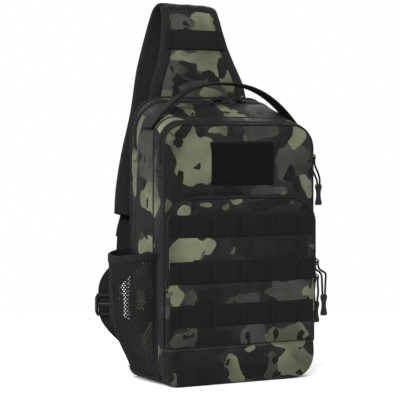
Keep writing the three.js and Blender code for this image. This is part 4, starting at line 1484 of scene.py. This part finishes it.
# ---------------------------------------------------------------- carry handle
HANDLE_HALF, HANDLE_LOW, HANDLE_HIGH, HANDLE_POWER, HANDLE_Y = 98.0, 289.0, 341.5, 2.4, -10.0
STITCH_OFFSET = 7.6  # from the middle of the handle's webbing to each row of stitches
HANDLE_WIDE = 10.0  # half the width of the handle's webbing at its ends


def handle():
    """The carry handle's arch of webbing, narrower in its middle, with a row of stitches by each edge."""
    xs = HANDLE_HALF * np.sin(np.linspace(-math.pi / 2, math.pi / 2, 90))
    zs = HANDLE_HIGH - (HANDLE_HIGH - HANDLE_LOW) * (np.abs(xs) / HANDLE_HALF) ** HANDLE_POWER
    path = evenly(at_depth(np.column_stack([xs, zs]), HANDLE_Y), 2.0)
    half = HANDLE_WIDE - 1.8 * smooth(1 - np.abs(path[:, 0]) / 70)
    piece = sweep("carry_handle_webbing", band_rings(path, Y_AXIS, half, -1.2, 1.2), WEBBING)
    dress(piece, "handle", "webbing", "handle")
    _, a, u = (directions[8:-8] for directions in framed(path, Y_AXIS))
    lines = []
    for side in (-STITCH_OFFSET, STITCH_OFFSET):
        row = path[8:-8] + a * (side * (half[8:-8] / HANDLE_WIDE)[:, None])
        lines += stitches(row + u * 1.2, u)
        lines += stitches(row - u * 1.2, -u)
    dress(joined("carry_handle_stitching", lines, THREAD), "handle", "webbing")


# ---------------------------------------------------------------- shoulder strap
STRAP_ROUTE = np.array([
    [0, 54.6, 322, 65], [0, 56, 345, 60], [0, 60, 368, 50.5], [0, 65, 388, 44],
    [0, 70.5, 408, 40], [0.3, 76, 425, 37.5], [0.8, 83.5, 436, 36], [0.3, 93, 438.5, 35],
    [-2.4, 102, 432, 35], [-5.4, 107.5, 416, 35], [-11.4, 109.5, 390, 35], [-24.4, 105, 350, 34],
    [-39.4, 96, 300, 31], [-59.4, 85, 250, 28], [-72.4, 76.5, 212, 25.5], [-79.5, 71.5, 184, 22.5]])
STRAP_STATIONS = 170
FACE_END = 430.0  # height where the strap's camo face stops, just before the fold
ROW_ALONG = unit(STRAP_ROUTE[4, :3] - STRAP_ROUTE[3, :3])
ROW_MIDDLE = STRAP_ROUTE[3, :3] + (STRAP_ROUTE[4, :3] - STRAP_ROUTE[3, :3]) * 0.4


def strap_stations():
    line = catmull(STRAP_ROUTE[:, :3], STRAP_STATIONS)
    place = np.linspace(0, len(STRAP_ROUTE) - 1, STRAP_STATIONS)
    return line, np.interp(place, np.arange(len(STRAP_ROUTE)), STRAP_ROUTE[:, 3])


def pad_section(half):
    """The strap pad's cross-section: crowned cloth above, flatter mesh below, thin sewn edges."""
    xs = np.linspace(-1, 1, 31)
    crown = (1 - np.abs(xs) ** 3.2) ** 0.75
    upper = np.column_stack([xs * half, -0.3 + 2.9 * crown])
    lower = np.column_stack([xs[::-1][1:-1] * half, -0.5 - 3.1 * crown[::-1][1:-1]])
    return np.concatenate([upper, lower]), len(upper)


def strap():
    """The shoulder pad. It swells as one body, which is then parted into lining, cover and camo face."""
    line, half = strap_stations()
    _, a, u = framed(line, X_AXIS)
    rings = []
    for i, p in enumerate(line):
        section, top_count = pad_section(half[i] - 0.6)
        rings.append(section_ring(p, a[i], u[i], section))
    body = skin("strap_pad_form", np.array(rings), AIR_MESH, wrap=True)
    columns = len(rings[0])
    across = np.abs(np.linspace(-1, 1, top_count))
    edge = np.tile(np.concatenate([across, across[::-1][1:-1]]), STRAP_STATIONS)
    station = np.repeat(np.arange(STRAP_STATIONS), columns)
    ends = smooth(np.minimum(station, STRAP_STATIONS - 1 - station) / 8)
    under_row = smooth((np.linalg.norm(line - ROW_MIDDLE, axis=1) - 13) / 12)
    ends = ends * np.repeat(under_row, columns)
    inside = np.repeat(half, columns) * (1 - edge)
    free = smooth((inside - 13) / 7) * ends
    cloth_pass(body, lambda p: free, 2.6, 2.0, slack=0.02)
    ripple(body, 0.35, 26, 11, lambda p: free)
    points = points_of(body.data).reshape(STRAP_STATIONS, columns, 3) / MM
    bpy.data.objects.remove(body)
    last_face = int(np.argmax(line[:, 2] > FACE_END))
    upper = points[:, :top_count]
    lower = np.concatenate([points[:, top_count - 1 :], points[:, :1]], axis=1)
    lining = skin("strap_mesh_lining", lower[::-1], AIR_MESH, thickness=1.6)
    core = skin("strap_cover_black", upper[::-1], LINING, thickness=1.2)
    shown = (upper + u[:, None] * 0.35)[: last_face + 1][::-1]
    face = skin("strap_camo_face", shown, CAMO["strap"], thickness=0.9)
    dress(lining, "strap", "air_mesh", "strap_lining")
    dress(core, "strap", "lining")
    dress(print_on(face), "strap", "camo_fabric", "strap_shell")
    strap_edges(line, half, a, u)
    strap_lines(u, last_face, upper)


# Cross-section of the binding: distance past the strap's half width, then height.
BINDING_OUTER = [(-12.5, 3.0), (-9, 2.8), (-4, 2.3), (-0.6, 1.5), (1.2, 0.6), (1.9, -0.7),
                 (1.3, -2.0), (-0.6, -2.9), (-4, -3.6), (-8, -4.0), (-10, -4.1)]
BINDING_INNER = [(-10, -3.2), (-4, -2.6), (-0.8, -1.9), (0.7, -0.7), (-0.8, 0.5), (-4, 1.3), (-12.5, 2.0)]


def strap_edges(line, half, a, u):
    """Binding folded round each edge of the strap, with a stitched inner border."""
    for side, which in ((-1, "left"), (1, "right")):
        rings, stitch_path = [], []
        for i, p in enumerate(line):
            h = half[i]
            section = (np.array(BINDING_OUTER + BINDING_INNER) + [h, 0]) * [side, 1]
            rings.append(section_ring(p, a[i], u[i], section))
            stitch_path.append(p + a[i] * side * (h - 10.9) + u[i] * 3.12)
        piece = sweep(f"strap_binding_{which}_tape", rings, BINDING)
        dress(piece, "strap", "webbing", f"strap_binding_{which}")
        lines = stitches(np.array(stitch_path), u)
        dress(joined(f"strap_binding_{which}_stitching", lines, THREAD), "strap", "webbing")


def strap_lines(u, last_face, upper):
    """The sewn end of the camo face, and the webbing row across the strap's front."""
    lines = []
    for i in (last_face - 1, last_face - 3):
        lines += stitches(upper[i, 4:-4] + u[i] * 0.5, u[i])
    dress(joined("strap_face_stitching", lines, THREAD), "strap", "camo_fabric")
    middle, along = ROW_MIDDLE, ROW_ALONG
    height = np.cross(X_AXIS, along)
    xs = np.linspace(-38, 38, 60)
    lift = 3.3 + 0.7 * (1 - np.abs(xs / 38) ** 2)
    path = middle + xs[:, None] * X_AXIS + lift[:, None] * height
    row = sweep("strap_webbing_row_band", band_rings(path, -along, 12.5, -0.2, 1.5), WEBBING)
    dress(row, "strap", "webbing", "strap_webbing_row")
    lines = []
    for x in (-30.0, 30.0):
        foot = middle + X_AXIS * x + height * (lift.mean() + 1.65)
        bar = np.array([foot + along * s for s in np.linspace(-11, 11, 10)])
        lines += stitches(bar, height, length=1.9, gap=0.4, radius=0.42)
    dress(joined("strap_webbing_row_stitching", lines, THREAD), "strap", "webbing")


# ---------------------------------------------------------------- lower webbing, adjuster, anchor
WEBBING_ROUTE = np.array([
    [-86, 70.5, 173], [-86.4, 71, 156], [-87.5, 72.4, 139], [-93, 75, 123],
    [-102.5, 77.8, 111], [-106.5, 78.5, 102], [-106.5, 78.5, 84], [-105.5, 78.2, 70],
    [-98.5, 74, 58], [-90, 68.5, 48], [-82.5, 63, 38], [-79, 60.3, 28], [-77.5, 58.8, 19]])


def lower_webbing():
    """The webbing from the strap's end down to the bag's tab, and the tab that holds it on the strap."""
    path = evenly(catmull(WEBBING_ROUTE, 120), 1.5)
    piece = sweep("lower_webbing_band", band_rings(path, RADIAL, 12.5, -0.95, 0.95), WEBBING)
    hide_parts("lower_webbing")
    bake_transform(piece)
    tail = np.array([[-78.6, 72.2, 190], [-81.6, 71.2, 180], [-84.6, 70.4, 171], [-86.4, 71.0, 160]])
    tail = evenly(catmull(tail, 30), 1.5)
    patch = sweep("strap_end_tab", band_rings(tail, np.array([0.95, -0.3, 0.0]), 14.0, 1.1, 2.4), WEBBING)
    dress(patch, "strap", "webbing")


ADJUSTER_AT = np.array([-106.5, 78.5, 81.5])


def adjuster():
    """The strap's adjuster: a rounded frame with a bar across its middle, over the webbing."""
    thick = 2.3
    wide, tall = 17.0 - thick, 13.5 - thick
    normal = np.cross(RADIAL, Z_AXIS)
    corner = 4.0
    loop = []
    for cx, cz, start in ((1, 1, 0), (-1, 1, 90), (-1, -1, 180), (1, -1, 270)):
        for degrees in np.linspace(start, start + 90, 7):
            a = math.radians(degrees)
            x, z = cx * (wide - corner) + corner * math.cos(a), cz * (tall - corner) + corner * math.sin(a)
            loop.append(ADJUSTER_AT + RADIAL * x + np.array([0, 0, z]))
    loop = evenly(np.array(loop + loop[:1]), 1.5)
    t = unit(np.roll(loop[:-1], -1, axis=0) - np.roll(loop[:-1], 1, axis=0))
    t = np.concatenate([t, t[:1]])
    section = band_section(2.1, -thick, thick, 0.42)
    out = np.cross(t, normal)
    frame_rings = [section_ring(p, out[i], normal, section) for i, p in enumerate(loop)]
    across = np.array([ADJUSTER_AT + RADIAL * x for x in np.linspace(-wide, wide, 20)])
    bar = band_rings(across, Z_AXIS, 2.6, -1.7, 1.7)
    deep = thick + 0.35
    edges = [band_rings(across + Z_AXIS * dz, Z_AXIS, 0.6, -deep, deep) for dz in (-tall, tall)]
    piece = joined("strap_adjuster_frame", [np.array(frame_rings), bar] + edges, BUCKLE)
    dress(piece, "adjuster", "hard_plastic", "strap_adjuster")


def anchor_tab():
    """The sewn tab behind the bag's lower left edge, with a crossed box of stitches."""
    low, high = span("anchor_tab")
    count = 24
    xs = np.linspace(low[0] + 0.5, high[0] - 0.5, count)
    ys = np.full(count, low[1] + 1.2) + 0.8 * np.sin(np.linspace(0, math.pi, count))
    path = np.column_stack([xs, ys, np.full(count, (low[2] + high[2]) / 2)])
    rings = band_rings(path, -Z_AXIS, (high[2] - low[2]) / 2, -0.8, 1.6)
    dress(sweep("anchor_tab_webbing", rings, WEBBING), "root", "webbing", "anchor_tab")
    left, right, foot, top = low[0] + 4, high[0] - 3, low[2] + 2.5, high[2] - 2.5
    box = [(left, foot), (right, foot), (right, top), (left, top)]
    crossed = BOX_SIDES + [(0, 2), (1, 3)]
    lines = sewn_lines(box, crossed, low[1] + 3.6, (0, 1, 0), 12, length=2.2, gap=0.6)
    dress(joined("anchor_tab_stitching", lines, THREAD), "root", "webbing")


# ---------------------------------------------------------------- bottle pocket
BOTTLE_BACK, BOTTLE_FRONT, BOTTLE_SIDE, BOTTLE_FOOT = 47.0, -33.0, -88.0, 7.0
BOTTLE_MIDDLE = (BOTTLE_BACK + BOTTLE_FRONT) / 2
RIM_TOP, RIM_HEIGHT, RIM_DIP = 150.0, 9.6, 5.0
NET_COLUMNS, NET_ROWS, NET_THREAD = 30, 29, 1.8
NET_START, NET_REACH = 0.012, 0.976  # shares of the half turn between the net's two sewn edges


def bottle_swell(z):
    """How far the pocket stands out from the bag at a height."""
    return 3 + 42.5 * np.clip((z - 4) / 70, 0, 1) ** 0.72


def bottle_point(angle, z, grow=0.0):
    """A point on the pocket: angle 0 is at its back edge and pi at its front edge."""
    c, s = np.cos(angle), np.abs(np.sin(angle))
    half = (BOTTLE_BACK - BOTTLE_FRONT) / 2 + grow
    x = BOTTLE_SIDE - (bottle_swell(z) - 0.8 + grow) * s**0.8
    y = BOTTLE_MIDDLE + half * np.sign(c) * np.abs(c) ** 0.8
    return np.stack([x, y, np.broadcast_to(z, np.shape(x))], axis=-1)


RIM_TURN_IN = 0.03  # angle past each sewn edge over which the elastic turns in to the bag


def rim_level(angle):
    """Height of the elastic's top edge, lower in its middle."""
    return RIM_TOP - RIM_DIP * np.sin(angle) ** 2


def net_surface(angle, share):
    """The net between its foot (share 0) and the elastic (share 1), slack and uneven."""
    z = BOTTLE_FOOT + (rim_level(angle) - RIM_HEIGHT + 1 - BOTTLE_FOOT) * share
    point = bottle_point(angle, z)
    middle = np.array([BOTTLE_SIDE, BOTTLE_MIDDLE, z])
    away = unit(np.array([point[0] - middle[0], point[1] - middle[1], 0.0]))
    sag = math.sin(math.pi * share) ** 0.7 * math.sin(angle) ** 0.6
    broad = noise.noise(Vector((angle * 1.7, share * 2.4, 3.3))) * 3.2
    fine = noise.noise(Vector((angle * 4.5, share * 5.0, 7.7))) * 1.4
    return point + away * (broad + fine - 1.6) * sag


def bottle_net():
    """A knitted net of open diamonds, each side a thread."""
    across, up = 2 * NET_COLUMNS, 2 * NET_ROWS
    verts, index, faces = [], {}, []

    def corner(i, j):
        if (i, j) not in index:
            index[i, j] = len(verts)
            verts.append(net_surface(math.pi * (NET_START + NET_REACH * i / across), j / up))
        return index[i, j]

    for j in range(up - 1):
        for i in range(j % 2, across - 1, 2):
            left, foot = corner(i, j + 1), corner(i + 1, j)
            faces.append([left, foot, corner(i + 2, j + 1), corner(i + 1, min(j + 2, up))])
    faces = [f for f in faces if len(set(f)) == 4]
    piece = build("bottle_pocket_net", verts, faces, NET)
    wire = piece.modifiers.new("Threads", "WIREFRAME")
    wire.thickness, wire.use_even_offset, wire.use_boundary = NET_THREAD * MM, False, True
    dress(piece, "root", "net_mesh", "bottle_mesh")
    around = np.array([net_surface(a, 0.8) for a in np.linspace(0.04, math.pi - 0.04, 60)])
    around = lengths(around)[-1] * MM


def bottle_rim():
    """The elastic top edge, gathered into small upright folds."""
    rings = []
    for angle in np.linspace(-RIM_TURN_IN, math.pi + RIM_TURN_IN, 220):
        top = rim_level(angle)
        fold = 0.2 * math.sin(angle * 62) * min(1, 3 * math.sin(max(min(angle, math.pi), 0)) + 0.1)
        section = band_section(RIM_HEIGHT / 2, -1.1, 1.1, 0.5)
        ring = []
        for h, t in section:
            z = top - RIM_HEIGHT / 2 + h
            p = bottle_point(np.array(np.clip(angle, 0, math.pi)), z)
            q = bottle_point(np.array(np.clip(angle, 0, math.pi)), z, grow=1.0)
            away = unit(q - p)
            if angle < 0 or angle > math.pi:
                beyond = abs(angle if angle < 0 else angle - math.pi) / RIM_TURN_IN
                p = p + np.array([6.0 * beyond, 0, 0])
            ring.append(p + away * (t + 0.2 + fold * (1 if t > 0 else 0.6)))
        rings.append(ring)
    piece = sweep("bottle_pocket_elastic", np.array(rings), ELASTIC)
    dress(piece, "root", "elastic", "bottle_rim")


def bottle_edges():
    """Binding where the net is sewn to the bag, down both sides and round the foot."""
    for name, angle in (("back", 0.0), ("front", math.pi)):
        zs = np.linspace(BOTTLE_FOOT - 1, RIM_TOP - 4, 60)
        path = []
        for z in zs:
            p = bottle_point(np.array(angle), z)
            p[0] = -half_at(p[1]) - 0.9 if z > 22 else -half_at(p[1]) - 0.9 + (22 - z) ** 2 / 60
            path.append(p)
        dress(piping(f"bottle_pocket_edge_{name}", np.array(path), 1.5, BINDING), "root", "webbing")
    angles = np.linspace(0, math.pi, 60)
    foot = np.array([bottle_point(np.array(x), BOTTLE_FOOT + 0.5) for x in angles])
    dress(piping("bottle_pocket_foot", foot, 1.5, BINDING), "root", "webbing")


# ---------------------------------------------------------------- inside, floor and lights
def plain_nodes():
    """CAD nodes that stay, with a finished material."""
    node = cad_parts["divider_panel"]
    node.data.materials.clear()
    node.data.materials.append(LINING)


FLOOR_SHOWN = 1.6  # brightness of the floor where the camera sees it


def floor_material():
    """White floor that fades out with distance, and looks as bright as the backdrop except in shadow."""
    m = Shader("floor", Roughness=0.9, Specular_IOR_Level=0.05)
    seen = m.node("LightPath")
    x, y, _ = m.parts(m.place())
    far = m.math("SQRT", m.add(m.times(x, x), m.times(y, y)))
    clear = m.node("BsdfTransparent")
    blend = m.tree.nodes.new("ShaderNodeMixShader")
    m.put(blend.inputs[0], m.ramp(far, 0.32, 0.75))
    m.put(blend.inputs[1], m.bsdf.outputs[0])
    m.put(blend.inputs[2], clear)
    m.put(m.tree.nodes["Material Output"].inputs[0], blend.outputs[0])
    return m.finish(Base_Color=m.mix(seen, rgb(0.6, 0.6, 0.6), rgb(*[FLOOR_SHOWN] * 3)))


def stage():
    mesh = bpy.data.meshes.new("Floor")
    mesh.from_pydata([(-1, -1, 0), (1, -1, 0), (1, 1, 0), (-1, 1, 0)], [], [(0, 1, 2, 3)])
    mesh.materials.append(floor_material())
    floor = bpy.data.objects.new("Floor", mesh)
    bpy.context.scene.collection.objects.link(floor)


def area_light(name, place, target, size, power):
    data = bpy.data.lights.new(name, "AREA")
    data.shape, data.size, data.energy = "DISK", size, power
    light = bpy.data.objects.new(name, data)
    light.location = place
    light.rotation_mode = "QUATERNION"
    light.rotation_quaternion = (Vector(target) - Vector(place)).to_track_quat("-Z", "Y")
    bpy.context.scene.collection.objects.link(light)


WORLD_LIGHT = 0.24  # the backdrop shows as white but lights the bag less
LAMPS = [  # name, place, target, size, power
    ("Key", (-1.3, -1.5, 1.7), (0, 0, 0.2), 1.1, 44),
    ("Left", (-1.9, 0.25, 0.75), (0, 0, 0.2), 0.9, 16),
    ("Right", (1.7, -0.6, 1.1), (0, 0, 0.2), 0.9, 10),
    ("Back", (0.6, 1.8, 1.5), (0, 0, 0.25), 1.2, 22),
]


def lights():
    world = bpy.data.worlds.new("Studio")
    world.use_nodes = True
    tree, background = world.node_tree, world.node_tree.nodes["Background"]
    background.inputs[0].default_value = rgb(1, 1, 1)
    strength = tree.nodes.new("ShaderNodeMath")
    strength.operation = "MULTIPLY_ADD"
    tree.links.new(tree.nodes.new("ShaderNodeLightPath").outputs[0], strength.inputs[0])
    strength.inputs[1].default_value = 1.0 - WORLD_LIGHT
    strength.inputs[2].default_value = WORLD_LIGHT
    tree.links.new(strength.outputs[0], background.inputs[1])
    bpy.context.scene.world = world
    bpy.context.scene.view_settings.view_transform = "Standard"
    for lamp in LAMPS:
        area_light(*lamp)


main_gusset()
middle_gusset()
front_panel()
back_panel()
back_pad()
boot()
pocket_face()
pocket_inside()
pocket_zip()
for row, carrier in zip(ROWS, ("pocket_flap", "pocket_flap", "root")):
    molle_row(row, carrier)
loop_patch()
body_zips()
seams()
sliders()
handle()
strap()
lower_webbing()
adjuster()
anchor_tab()
bottle_net()
bottle_rim()
bottle_edges()
plain_nodes()
stage()
lights()
